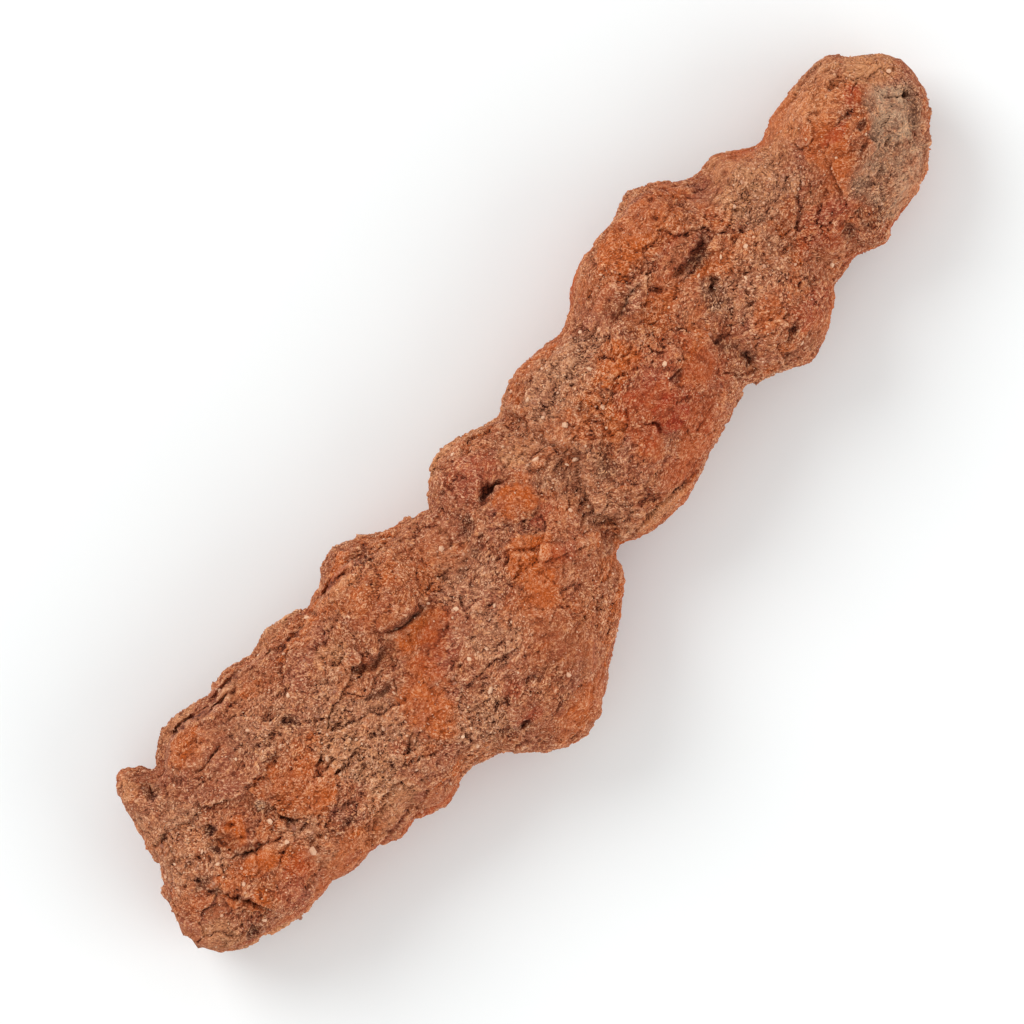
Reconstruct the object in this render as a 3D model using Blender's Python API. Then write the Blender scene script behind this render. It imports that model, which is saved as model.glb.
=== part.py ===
# Coprolite: a long, lumpy, sandy red fossil that lies on its flatter side.
#
# The fossil is one piece. It lies along X, with its broken end at -X and its rounded head at +X,
# and rests on three worn flats at Z = 0. The origin is the middle of its footprint.
# Seen from above, the far edge is the one at +Y and the near edge is the one at -Y.
#
# The body is a loft: at every X, the far edge, the near edge, the crest and the belly give the
# section, and lumps, ledges, cracks and pits are then raised or sunk along the surface's normals.

import math

import bmesh
import bpy
import numpy as np

# Sizes are in millimetres. They are turned to metres when the mesh is finished.
METRES_PER_MM = 0.001
LENGTH = 130.0
END_X = LENGTH / 2.0

# Fineness of the loft, and the share of its triangles that is kept once the relief is in.
RINGS = 230
POINTS_PER_RING = 120
KEPT_SHARE = 0.165

# Where the loft's rings crowd together: 0 spaces them evenly, 1 packs them into both ends.
END_CROWDING = 0.45

# The outline seen from above, as (x, y) at its turns.
FAR_EDGE = [
    (-65.0, 0.0), (-63.5, 4.3), (-62.0, 6.9), (-60.8, 8.1), (-59.8, 11.4), (-58.0, 18.0),
    (-57.2, 18.8), (-55.4, 19.0), (-54.2, 17.0), (-53.0, 15.5), (-52.0, 16.5), (-50.0, 18.0),
    (-48.5, 18.6), (-46.5, 18.5), (-43.0, 17.1), (-41.5, 17.2), (-40.0, 17.5), (-38.0, 17.3),
    (-36.5, 16.3), (-35.2, 16.3), (-33.5, 17.0), (-27.5, 15.2), (-24.5, 15.8), (-23.0, 17.0),
    (-20.5, 17.5), (-18.5, 16.5), (-15.0, 13.8), (-9.8, 12.0), (-5.5, 15.2), (-2.0, 14.9),
    (3.8, 12.6), (5.5, 14.2), (10.0, 14.8), (15.8, 13.8), (18.6, 14.9), (20.5, 16.4), (23.0, 17.5),
    (29.0, 18.0), (32.5, 18.9), (34.5, 17.9), (37.3, 14.8), (39.5, 13.9), (42.5, 14.2),
    (45.0, 12.0), (47.0, 10.7), (54.0, 12.5), (58.5, 12.2), (60.0, 11.0), (61.5, 9.2), (63.0, 8.5),
    (64.6, 6.2), (65.0, 4.0),
]
NEAR_EDGE = [
    (-65.0, 0.0), (-64.3, -3.0), (-61.5, -5.2), (-59.0, -6.7), (-53.0, -8.1), (-49.5, -7.7),
    (-47.0, -9.0), (-42.5, -9.5), (-40.5, -10.6), (-37.5, -10.5), (-34.0, -12.1), (-29.0, -11.3),
    (-24.8, -13.2), (-22.5, -16.2), (-20.0, -18.4), (-17.5, -19.0), (-15.0, -18.5),
    (-10.0, -15.8), (-5.0, -13.0), (-2.5, -11.5), (-1.0, -10.0), (0.0, -7.6), (1.9, -7.2), (3.5, -8.6),
    (7.0, -9.8), (11.0, -9.9), (15.0, -8.6), (21.0, -7.6), (25.0, -6.2), (29.0, -9.0),
    (32.0, -10.1), (36.0, -9.4), (38.2, -8.4), (40.3, -6.4), (44.5, -6.0), (46.5, -7.2), (48.3, -7.8),
    (50.0, -6.8), (54.0, -6.7), (57.0, -6.2), (60.3, -4.0), (62.0, -2.2), (64.0, 0.3), (65.0, 4.0),
]

# Heights of the crest and of the belly, as (x, z). Each neck between two lobes is a dip.
CREST = [
    (-65.0, 12.5), (-62.0, 15.5), (-57.0, 16.5), (-48.0, 17.3), (-40.0, 17.6), (-31.0, 17.8),
    (-22.0, 18.3), (-14.0, 18.6), (-7.0, 18.0), (1.8, 15.6), (7.0, 17.6), (14.0, 18.8),
    (20.0, 18.6), (26.0, 17.2), (32.0, 18.2), (37.0, 17.0), (43.0, 14.8), (47.0, 15.4),
    (53.0, 17.0), (58.0, 16.4), (62.0, 13.6), (64.4, 10.4), (65.0, 8.5),
]
BELLY = [
    (-65.0, 5.5), (-62.5, 2.0), (-58.0, 0.2), (-50.0, -0.6), (-42.0, 0.7), (-31.0, 1.1),
    (-22.0, -0.2), (-15.0, -0.8), (-8.0, 0.2), (1.8, 2.6), (8.0, 1.2), (14.0, 0.6),
    (20.0, 1.0), (26.0, 2.2), (32.0, 1.0), (43.0, 2.4), (50.0, 0.1), (54.0, -0.8), (58.0, -0.2),
    (62.0, 2.8), (64.4, 6.4), (65.0, 8.5),
]
EDGE_ROUNDING = 0.7       # how far each turn of the outline is rounded
HEIGHT_ROUNDING = 3.0     # and each turn of the crest and the belly

# The section is widest at this share of its height. A higher fullness is a boxier half section.
WAIST_SHARE = 0.42
CREST_FULLNESS = [(-65.0, 3.4), (-25.0, 3.0), (0.0, 2.5), (30.0, 2.5), (50.0, 2.4), (65.0, 2.2)]
BELLY_FULLNESS = 2.5

# Lumps of the upper side: x, y, half length, half width, turn in degrees, height.
# A negative height is a hollow.
LUMPS = [
    (-52.5, -3.2, 5.8, 3.8, 10, 1.7),      # round lobe at the near corner of the broken end
    (-52.6, 4.6, 3.6, 2.6, 0, 0.9),        # ochre lump behind it
    (-43.2, 1.6, 4.0, 3.6, 0, 1.1),        # ochre nodule in the middle of the block
    (-48.0, 14.0, 8.0, 3.2, 5, 0.9),       # upturned far rim
    (-36.0, 0.0, 6.0, 6.5, 0, -0.8),       # sandy flat
    (-30.0, -6.0, 6.0, 5.0, 20, 0.8),      # swelling of the near edge
    (-22.5, 10.0, 8.8, 6.0, -8, 2.6),      # flap
    (-12.5, 6.0, 4.5, 3.6, 0, -1.4),       # sandy dip behind the flap
    (-14.5, -9.0, 10.0, 9.0, 25, 2.0),     # great near lobe
    (-6.5, -1.5, 5.0, 4.2, -40, 1.2),      # three-cornered ochre face
    (-3.5, 11.2, 6.0, 4.2, 0, 1.8),        # far knob
    (-3.0, 5.2, 3.0, 2.8, 20, 1.5),        # small ochre block
    (16.0, 2.0, 10.5, 8.0, 0, 2.0),        # red dome
    (8.5, -5.5, 6.0, 4.6, 10, 0.9),
    (10.0, 11.2, 6.0, 3.6, 0, 0.7),
    (28.5, 14.0, 9.0, 5.2, 8, 2.4),        # crumbly far lobe
    (33.5, -4.2, 7.0, 5.6, 12, 1.8),       # near lobe
    (37.0, 3.0, 4.5, 4.0, 0, 0.8),
    (42.5, 10.0, 4.2, 4.0, 0, 1.0),
    (48.2, -6.0, 3.0, 2.6, 0, 1.2),        # small near knob
    (45.0, -1.0, 5.0, 3.0, 10, 0.7),       # smooth red patch
    (53.0, 6.0, 8.5, 6.5, 0, 1.6),         # head
    (-57.5, 9.0, 4.0, 6.0, 0, -0.8),       # broken corner under the spur
]

# Lumps of the underside, in the same terms.
UNDER_LUMPS = [
    (-54.0, 8.0, 8.0, 6.0, 20, 1.0), (-38.0, -4.0, 9.0, 5.0, -10, 1.2),
    (-33.0, 9.0, 7.0, 5.0, 0, 0.9), (-20.0, -12.0, 7.0, 6.0, 30, 1.6),
    (-14.0, -2.0, 8.0, 6.5, 0, 1.1), (-6.0, 7.0, 7.0, 5.0, 0, 1.0), (2.0, 3.0, 3.0, 9.0, 0, -1.5),
    (12.0, -3.0, 8.0, 5.0, 10, 1.2), (20.0, 9.0, 7.0, 5.0, -15, 1.4),
    (27.0, -1.0, 3.5, 7.0, 0, -1.2), (34.0, 6.0, 7.0, 6.0, 0, 1.3),
    (43.0, 2.0, 4.0, 7.0, 0, -1.0), (54.0, 3.0, 8.0, 6.0, 0, 0.9),
]

# Pits of the upper side: x, y, radius, depth.
PITS = [
    (-54.9, 14.3, 1.3, 1.8), (-54.3, 6.1, 1.2, 1.3), (-59.2, 3.3, 1.3, 1.1), (-48.1, 3.3, 1.2, 1.0),
    (-38.6, 8.0, 1.4, 0.9), (-43.1, 6.6, 1.3, 0.9), (-59.4, -5.3, 1.2, 1.0), (-8.7, 7.6, 2.0, 1.6),
    (-21.2, -12.9, 1.3, 0.9), (7.8, -0.5, 1.8, 0.8), (20.3, 0.4, 1.3, 0.9), (27.3, -5.0, 1.6, 2.1),
    (26.4, -1.8, 2.4, 1.2), (46.1, -3.8, 1.3, 1.0), (55.7, 3.0, 1.1, 1.0), (56.6, 5.6, 1.2, 0.8),
]

# Cracks and grooves of the upper side: half width, depth, and the (x, y) points they run through.
CRACKS = [
    (0.9, 2.2, [(-30.4, 6.9), (-28.9, 5.9), (-27.6, 5.3), (-24.6, 5.0)]),     # under the flap
    (1.0, 2.8, [(-24.2, 7.4), (-23.0, 6.3), (-21.5, 5.7), (-18.0, 5.2)]),     # under the flap
    (0.9, 1.0, [(-31.8, 3.1), (-30.0, 2.4), (-27.2, 1.7)]),
    (1.0, 2.0, [(-50.2, 0.2), (-52.0, 1.2), (-53.4, 1.7), (-54.8, 2.8)]),     # beside the round lobe
    (0.8, 1.3, [(-46.1, -0.8), (-47.0, -0.1), (-47.6, 1.3), (-47.7, 2.6)]),   # beside the nodule
    (0.9, 1.2, [(-58.5, 0.8), (-58.0, -0.8), (-56.8, -2.8), (-55.0, -5.4), (-53.2, -6.2), (-50.2, -6.3)]),
    (0.8, 1.0, [(-50.2, 12.4), (-48.0, 12.1), (-45.4, 12.2)]),
    (0.9, 1.9, [(-5.0, 7.3), (-3.8, 8.1), (-2.6, 7.8), (-1.6, 6.8)]),         # round the ochre block
    (0.8, 1.0, [(-3.0, 1.7), (-1.2, 3.2)]),
    (1.9, 1.6, [(1.9, -7.2), (1.6, -3.0), (4.6, 2.0), (4.0, 8.0), (3.8, 12.8)]),  # first neck
    (0.9, 1.1, [(0.5, 5.0), (3.2, 4.8)]),
    (0.9, 1.4, [(13.2, 0.2), (14.5, -1.5), (14.2, -3.2)]),
    (1.3, 1.5, [(18.8, 9.0), (21.5, 9.9), (25.0, 10.5), (27.4, 8.4)]),
    (1.1, 2.8, [(28.2, 8.4), (29.6, 7.6), (31.2, 7.3), (32.8, 8.0), (34.9, 8.6)]),   # cleft of the far lobe
    (1.1, 1.9, [(32.0, 5.6), (31.0, 4.2), (30.4, 2.6)]),
    (0.9, 1.4, [(31.6, -6.4), (33.2, -5.4), (34.6, -5.0)]),
    (2.0, 1.0, [(39.5, 14.2), (41.0, 6.0), (41.5, -6.4)]),                    # second neck
    (0.8, 1.0, [(40.4, 0.3), (43.4, 1.4)]),
    (0.8, 1.0, [(54.2, 9.1), (56.0, 8.3), (58.6, 7.6)]),
    (0.9, 2.0, [(60.9, 0.9), (63.1, 2.3)]),                                   # slit in the head
]

# The far side of the block is layered: past this line, the lower layer stands out as a rim.
RIM_LINE = [
    (-57.0, 13.2), (-52.0, 15.6), (-50.0, 16.9), (-47.0, 17.0), (-45.0, 15.8), (-43.0, 15.5),
    (-41.0, 16.2), (-37.0, 16.2), (-32.0, 14.3), (-28.0, 14.2), (-22.0, 13.8), (-19.0, 13.2), (-16.0, 15.0),
]
RIM_START_X = -54.0
RIM_END_X = -18.0
RIM_DROP_SHARE = 0.35     # how much of its height over the waist the rim loses
RIM_STEP = 0.8            # width of the step down to it
RIM_FADE = 2.5            # length over which the step dies out at both ends

# Gaps between those layers, in the same terms as the cracks. They go straight down.
RIM_GAPS = [
    (0.8, 2.4, [(-53.4, 15.3), (-52.2, 16.1), (-50.8, 17.0), (-49.4, 17.4), (-47.8, 17.3), (-46.4, 16.8),
                (-45.4, 15.9), (-44.4, 15.7), (-43.4, 15.9)]),
    (0.8, 2.2, [(-43.6, 15.9), (-42.2, 16.3), (-40.8, 16.4), (-39.0, 16.3), (-37.2, 16.5)]),
    (0.8, 1.4, [(-35.6, 15.3), (-33.6, 14.7), (-31.8, 14.3), (-28.6, 14.3)]),
    (0.7, 3.2, [(-27.6, 14.6), (-27.4, 13.2)]),
    (0.8, 1.4, [(-27.2, 14.0), (-25.4, 14.3), (-23.8, 14.2), (-22.4, 13.5), (-20.6, 13.2)]),
]

# The worn face on the near side of the head: a plane through a point, its falls, and the line that
# bounds it on its far side.
FACET_POINT = (57.0, 1.5, 15.3)
FACET_FALL_NEAR = 0.50    # fall for each millimetre towards -Y
FACET_FALL_HEAD = 0.15    # fall for each millimetre towards +X
FACET_BORDER = [
    (48.4, -1.2), (49.6, 0.2), (53.0, 0.0), (55.0, 0.5), (56.5, 2.0), (58.0, 4.3), (60.0, 5.0),
    (61.6, 4.5), (63.0, 2.7), (65.0, 2.0),
]
FACET_START_X = 48.6
FACET_FADE = 1.8          # length over which the face begins

# Crumbs: small lumps scattered over the whole surface.
CRUMB_SEED = 41
CRUMB_COUNT = 520
CRUMB_RADIUS = (1.3, 3.4)
CRUMB_HEIGHT = (0.15, 0.55)
CRUMB_MEAN = 0.45         # taken off again, so that crumbs don't fatten the outline

# The underside is worn level up to this height, which makes the flats that it rests on.
WEAR_LEVEL = 0.0

# Slow waves that keep every face from being smooth: wavelength and height.
WAVE_SEED = 7
WAVES = [(17.0, 0.35), (8.0, 0.28), (4.5, 0.18)]
WAVES_PER_SIZE = 14

# Red-brown sandy stone.
STONE_COLOUR = (0.37, 0.13, 0.066, 1.0)
STONE_ROUGHNESS = 0.9


def clear_scene():
    for scene_object in list(bpy.data.objects):
        bpy.data.objects.remove(scene_object, do_unlink=True)


def smooth_step(value, start, end):
    """Rise from 0 at start to 1 at end, level at both."""
    share = np.clip((value - start) / (end - start), 0.0, 1.0)
    return share * share * (3.0 - 2.0 * share)


def read_line(points, x, rounding):
    """Read a line of (x, value) points at x, with its turns rounded by averaging nearby readings."""
    knots = np.array(points)
    shifts = np.linspace(-rounding, rounding, 7)
    readings = [np.interp(x + shift, knots[:, 0], knots[:, 1]) for shift in shifts]
    return np.mean(readings, axis=0)


def signed_power(value, power):
    return np.sign(value) * np.abs(value) ** power


def loft_positions(along, around):
    """Place loft points: along runs from 0 to 1 over the length, around is the angle in the section."""
    even = 2.0 * along - 1.0
    crowded = -np.cos(math.pi * along)
    x = END_X * ((1.0 - END_CROWDING) * even + END_CROWDING * crowded)

    far = read_line(FAR_EDGE, x, EDGE_ROUNDING)
    near = read_line(NEAR_EDGE, x, EDGE_ROUNDING)
    crest = read_line(CREST, x, HEIGHT_ROUNDING)
    belly = read_line(BELLY, x, HEIGHT_ROUNDING)
    waist = belly + WAIST_SHARE * (crest - belly)

    sideways = np.cos(around)
    upwards = np.sin(around)
    over_waist = upwards > 0.0
    fullness = np.where(over_waist, read_line(CREST_FULLNESS, x, HEIGHT_ROUNDING), BELLY_FULLNESS)
    reach = np.where(over_waist, crest - waist, waist - belly)
    y = (far + near) / 2.0 + (far - near) / 2.0 * signed_power(sideways, 2.0 / fullness)
    z = waist + reach * signed_power(upwards, 2.0 / fullness)
    return np.stack([x, y, z], axis=1), waist


def lump_heights(lumps, x, y):
    """Add up smooth domes: each is full in its middle and nothing at its rim."""
    total = np.zeros_like(x)
    for centre_x, centre_y, half_length, half_width, turn, height in lumps:
        cosine = math.cos(math.radians(turn))
        sine = math.sin(math.radians(turn))
        run = ((x - centre_x) * cosine + (y - centre_y) * sine) / half_length
        rise = ((y - centre_y) * cosine - (x - centre_x) * sine) / half_width
        total += height * np.clip(1.0 - run * run - rise * rise, 0.0, 1.0) ** 1.5
    return total


def distance_to_line(points, x, y):
    """Distance from each (x, y) to a line through the points."""
    nearest = np.full_like(x, 1000.0)
    for (start_x, start_y), (end_x, end_y) in zip(points[:-1], points[1:]):
        run_x = end_x - start_x
        run_y = end_y - start_y
        share = ((x - start_x) * run_x + (y - start_y) * run_y) / (run_x ** 2 + run_y ** 2)
        share = np.clip(share, 0.0, 1.0)
        gap = np.hypot(x - start_x - share * run_x, y - start_y - share * run_y)
        nearest = np.minimum(nearest, gap)
    return nearest


def crack_depths(cracks, x, y):
    """Depth of the cracks: full at their line, half at their half width, nothing at twice that."""
    total = np.zeros_like(x)
    for half_width, depth, points in cracks:
        opened = 1.0 - smooth_step(distance_to_line(points, x, y), 0.0, 2.0 * half_width)
        total = np.maximum(total, depth * opened)
    return total


def pit_depths(x, y):
    total = np.zeros_like(x)
    for centre_x, centre_y, radius, depth in PITS:
        away = ((x - centre_x) ** 2 + (y - centre_y) ** 2) / radius ** 2
        total += depth * np.clip(1.0 - away, 0.0, 1.0)
    return total


def crumb_heights(positions):
    """Scattered domes, set on random points of the surface, where the highest one wins."""
    random = np.random.default_rng(CRUMB_SEED)
    centres = positions[random.integers(0, len(positions), CRUMB_COUNT)]
    radii = random.uniform(*CRUMB_RADIUS, CRUMB_COUNT)
    heights = random.uniform(*CRUMB_HEIGHT, CRUMB_COUNT)
    total = np.zeros(len(positions))
    for centre, radius, height in zip(centres, radii, heights):
        away = np.sum((positions - centre) ** 2, axis=1) / radius ** 2
        total = np.maximum(total, height * np.sqrt(np.clip(1.0 - away, 0.0, 1.0)))
    return total


def wave_heights(positions):
    """Sum of sine waves in random directions, a few for each wavelength."""
    random = np.random.default_rng(WAVE_SEED)
    total = np.zeros(len(positions))
    for wavelength, height in WAVES:
        directions = random.normal(size=(WAVES_PER_SIZE, 3))
        directions /= np.linalg.norm(directions, axis=1)[:, None]
        phases = random.uniform(0.0, 2.0 * math.pi, WAVES_PER_SIZE)
        angles = positions @ directions.T * (2.0 * math.pi / wavelength) + phases
        total += height * np.sin(angles).sum(axis=1) / math.sqrt(WAVES_PER_SIZE / 2.0)
    return total


def drop_far_rim(positions, waist):
    """Lower what lies past the rim line, as a share of its height over the waist."""
    x, y, z = positions.T
    line = read_line(RIM_LINE, x, EDGE_ROUNDING)
    past = smooth_step(y, line, line + RIM_STEP)
    begun = smooth_step(x, RIM_START_X - RIM_FADE, RIM_START_X)
    ended = smooth_step(x, RIM_END_X - RIM_FADE, RIM_END_X)
    over = np.clip(z - waist, 0.0, None)
    positions[:, 2] = z - over * RIM_DROP_SHARE * past * begun * (1.0 - ended)


def cut_facet(positions, upward):
    """Lower the head to the worn face, on the near side of the face's border."""
    x, y, z = positions.T
    fall_near = FACET_FALL_NEAR * (FACET_POINT[1] - y)
    fall_head = FACET_FALL_HEAD * (x - FACET_POINT[0])
    plane = FACET_POINT[2] - fall_near - fall_head
    inside = smooth_step(read_line(FACET_BORDER, x, 0.3) - y, -0.3, 0.6)
    inside *= smooth_step(x, FACET_START_X, FACET_START_X + FACET_FADE)
    positions[:, 2] = z - np.clip(z - plane, 0.0, None) * inside * upward


def read_vectors(collection, name, count):
    values = np.empty(count * 3)
    collection.foreach_get(name, values)
    return values.reshape(count, 3)


def write_positions(mesh, positions):
    mesh.vertices.foreach_set("co", positions.ravel())
    mesh.update()


def loft_mesh():
    """A UV sphere whose poles are turned to the two ends, pulled out to the loft's sections."""
    work = bmesh.new()
    bmesh.ops.create_uvsphere(work, u_segments=POINTS_PER_RING, v_segments=RINGS, radius=1.0)
    mesh = bpy.data.meshes.new("coprolite")
    work.to_mesh(mesh)
    work.free()

    sphere = read_vectors(mesh.vertices, "co", len(mesh.vertices))
    along = np.arccos(np.clip(-sphere[:, 2], -1.0, 1.0)) / math.pi
    around = np.arctan2(sphere[:, 1], sphere[:, 0])
    positions, waist = loft_positions(along, around)
    write_positions(mesh, positions)
    return mesh, waist


def add_relief(mesh, waist):
    """Raise the lumps and crumbs and sink the cracks, pits, rim and facet."""
    positions = read_vectors(mesh.vertices, "co", len(mesh.vertices))
    normals = read_vectors(mesh.vertex_normals, "vector", len(mesh.vertices))
    x, y = positions[:, 0], positions[:, 1]
    upward = smooth_step(normals[:, 2], 0.2, 0.8)
    downward = smooth_step(-normals[:, 2], 0.2, 0.8)
    above = smooth_step(normals[:, 2], -0.05, 0.35)

    height = lump_heights(LUMPS, x, y) * upward + lump_heights(UNDER_LUMPS, x, y) * downward
    height += crumb_heights(positions) - CRUMB_MEAN + wave_heights(positions)
    height -= (crack_depths(CRACKS, x, y) + pit_depths(x, y)) * above
    height *= smooth_step(END_X - np.abs(x), -0.5, 3.0)

    drop_far_rim(positions, waist)
    cut_facet(positions, upward)
    gaps = crack_depths(RIM_GAPS, x, y) * above
    positions += normals * height[:, None]
    positions[:, 2] -= gaps
    write_positions(mesh, positions)


def thin_out(mesh):
    """Keep only the triangles that the form needs: a decimated copy of the mesh."""
    holder = bpy.data.objects.new("loft", mesh)
    bpy.context.scene.collection.objects.link(holder)
    decimate = holder.modifiers.new("fewer_faces", "DECIMATE")
    decimate.ratio = KEPT_SHARE
    decimate.use_collapse_triangulate = True
    depsgraph = bpy.context.evaluated_depsgraph_get()
    thinned = bpy.data.meshes.new_from_object(holder.evaluated_get(depsgraph))
    bpy.data.objects.remove(holder, do_unlink=True)
    return thinned


def settle(mesh):
    """Wear the lowest places level, centre the footprint, and turn millimetres to metres."""
    positions = read_vectors(mesh.vertices, "co", len(mesh.vertices))
    positions[:, 2] = np.maximum(positions[:, 2], WEAR_LEVEL)
    lowest = positions.min(axis=0)
    highest = positions.max(axis=0)
    middle = (lowest + highest) / 2.0
    positions -= [middle[0], middle[1], lowest[2]]
    write_positions(mesh, positions * METRES_PER_MM)


def stone_material():
    material = bpy.data.materials.new("sandy_red_stone")
    material.use_nodes = True
    shader = material.node_tree.nodes["Principled BSDF"]
    shader.inputs["Base Color"].default_value = STONE_COLOUR
    shader.inputs["Roughness"].default_value = STONE_ROUGHNESS
    shader.inputs["Metallic"].default_value = 0.0
    return material


def make_coprolite():
    mesh, waist = loft_mesh()
    add_relief(mesh, waist)
    mesh = thin_out(mesh)
    settle(mesh)

    mesh.name = "coprolite"
    mesh.materials.append(stone_material())
    mesh.shade_smooth()
    fossil = bpy.data.objects.new("coprolite", mesh)
    parts = bpy.data.collections.new("coprolite")
    bpy.context.scene.collection.children.link(parts)
    parts.objects.link(fossil)


clear_scene()
make_coprolite()
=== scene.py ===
# Coprolite, dressed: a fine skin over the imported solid, its stone and loose sand, a floor and soft light.
# Shapes are worked out in millimetres in the solid's own frame and become metres when a mesh is made.
import math

import bmesh
import bpy
import numpy as np
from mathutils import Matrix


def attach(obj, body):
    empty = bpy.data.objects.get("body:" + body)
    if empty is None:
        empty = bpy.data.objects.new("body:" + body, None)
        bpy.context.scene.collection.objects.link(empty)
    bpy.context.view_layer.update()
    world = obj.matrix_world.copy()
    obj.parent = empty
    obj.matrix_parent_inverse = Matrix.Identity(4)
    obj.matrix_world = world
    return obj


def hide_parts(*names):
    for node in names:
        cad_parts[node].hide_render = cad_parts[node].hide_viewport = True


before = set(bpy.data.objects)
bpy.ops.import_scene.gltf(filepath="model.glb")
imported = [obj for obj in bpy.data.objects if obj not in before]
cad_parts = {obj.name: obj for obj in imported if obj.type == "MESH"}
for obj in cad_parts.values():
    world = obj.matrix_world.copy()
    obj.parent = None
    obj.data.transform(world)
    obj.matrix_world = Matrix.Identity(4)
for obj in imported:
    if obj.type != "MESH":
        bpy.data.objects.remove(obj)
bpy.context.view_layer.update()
metresPerMm = 0.001
print("frame loaded")

# The fossil's form: its outline from above, its heights, and how finely the skin is drawn.
# The far edge is at +Y, the near edge at -Y, the broken end at -X and the rounded head at +X.
form = {
    "length": 130.0,
    "endCrowding": 0.3,        # 0 spaces the rings evenly, 1 packs them into both ends
    "edgeRounding": 0.6,
    "heightRounding": 3.0,
    "waistShare": 0.42,        # the section is widest at this share of its height
    "bellyFullness": 2.5,
    # half width, half height and fullness of a middling section, which spaces the points round all others
    "middlingSection": (13.5, 9.0, 2.7),
    "calmEnds": (-0.5, 3.0),   # relief grows over these distances from an end
    "farEdge": [
        (-65.0, 0.0), (-63.5, 4.3), (-62.0, 6.9), (-60.8, 8.1), (-59.8, 11.0), (-58.0, 17.7), (-57.2, 18.5),
        (-55.4, 18.7), (-54.2, 17.0), (-53.0, 15.5), (-52.0, 16.5), (-50.0, 17.7), (-48.5, 18.3),
        (-46.5, 18.5), (-43.0, 17.1), (-41.5, 17.2), (-40.0, 17.5), (-38.0, 17.3), (-36.5, 16.3),
        (-35.2, 16.1), (-33.5, 16.6), (-27.5, 14.8), (-24.5, 15.5), (-23.0, 17.0), (-20.5, 17.5),
        (-18.5, 16.5), (-15.0, 13.2), (-9.8, 11.5), (-5.5, 14.6), (-2.0, 14.5), (3.8, 12.6), (5.5, 14.2),
        (10.0, 14.8), (15.8, 13.8), (18.6, 14.9), (20.5, 16.2), (23.0, 17.1), (29.0, 17.5), (32.5, 18.6),
        (34.5, 17.7), (37.3, 14.8), (39.5, 13.9), (42.5, 14.2), (45.0, 11.8), (47.0, 10.3), (54.0, 11.7),
        (58.5, 11.8), (60.0, 11.0), (61.5, 9.2), (63.0, 8.5), (64.6, 6.2), (65.0, 4.0)],
    "nearEdge": [
        (-65.0, 0.0), (-64.3, -2.8), (-61.5, -4.9), (-59.0, -6.4), (-53.0, -7.8), (-49.5, -7.7),
        (-47.0, -9.0), (-42.5, -9.5), (-40.5, -10.4), (-37.5, -10.3), (-34.0, -11.9), (-29.0, -10.9),
        (-24.8, -12.8), (-22.5, -16.0), (-20.0, -18.4), (-17.5, -19.0), (-15.0, -18.5), (-10.0, -15.5),
        (-5.0, -13.0), (-2.5, -11.2), (-1.0, -9.6), (0.0, -7.6), (1.9, -7.2), (3.5, -8.4), (7.0, -9.3),
        (11.0, -9.5), (15.0, -8.6), (21.0, -7.6), (25.0, -6.2), (29.0, -9.0), (32.0, -10.1), (36.0, -9.1),
        (38.2, -8.2), (40.3, -6.1), (44.5, -6.0), (46.5, -7.2), (48.3, -7.8), (50.0, -6.5), (54.0, -6.3),
        (57.0, -5.8), (60.3, -3.6), (62.0, -1.8), (64.0, 0.6), (65.0, 4.0)],
    "crest": [
        (-65.0, 12.5), (-62.0, 15.5), (-57.0, 16.5), (-48.0, 17.3), (-40.0, 17.6), (-31.0, 17.8),
        (-22.0, 18.3), (-14.0, 18.6), (-7.0, 18.0), (1.8, 15.6), (7.0, 17.6), (14.0, 18.8), (20.0, 18.6),
        (26.0, 17.2), (32.0, 18.2), (37.0, 17.0), (43.0, 14.8), (47.0, 15.4), (53.0, 17.0), (58.0, 16.4),
        (62.0, 13.6), (64.4, 10.4), (65.0, 8.5)],
    "belly": [
        (-65.0, 5.5), (-62.5, 2.0), (-58.0, 0.2), (-50.0, -0.6), (-42.0, 0.7), (-31.0, 1.1), (-22.0, -0.2),
        (-15.0, -0.8), (-8.0, 0.2), (1.8, 2.6), (8.0, 1.2), (14.0, 0.6), (20.0, 1.0), (26.0, 2.2),
        (32.0, 1.0), (43.0, 2.4), (50.0, 0.1), (54.0, -0.8), (58.0, -0.2), (62.0, 2.8), (64.4, 6.4),
        (65.0, 8.5)],
    "crestFullness": [(-65.0, 3.4), (-25.0, 3.0), (0.0, 2.5), (30.0, 2.5), (50.0, 2.4), (65.0, 2.2)],
}

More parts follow.
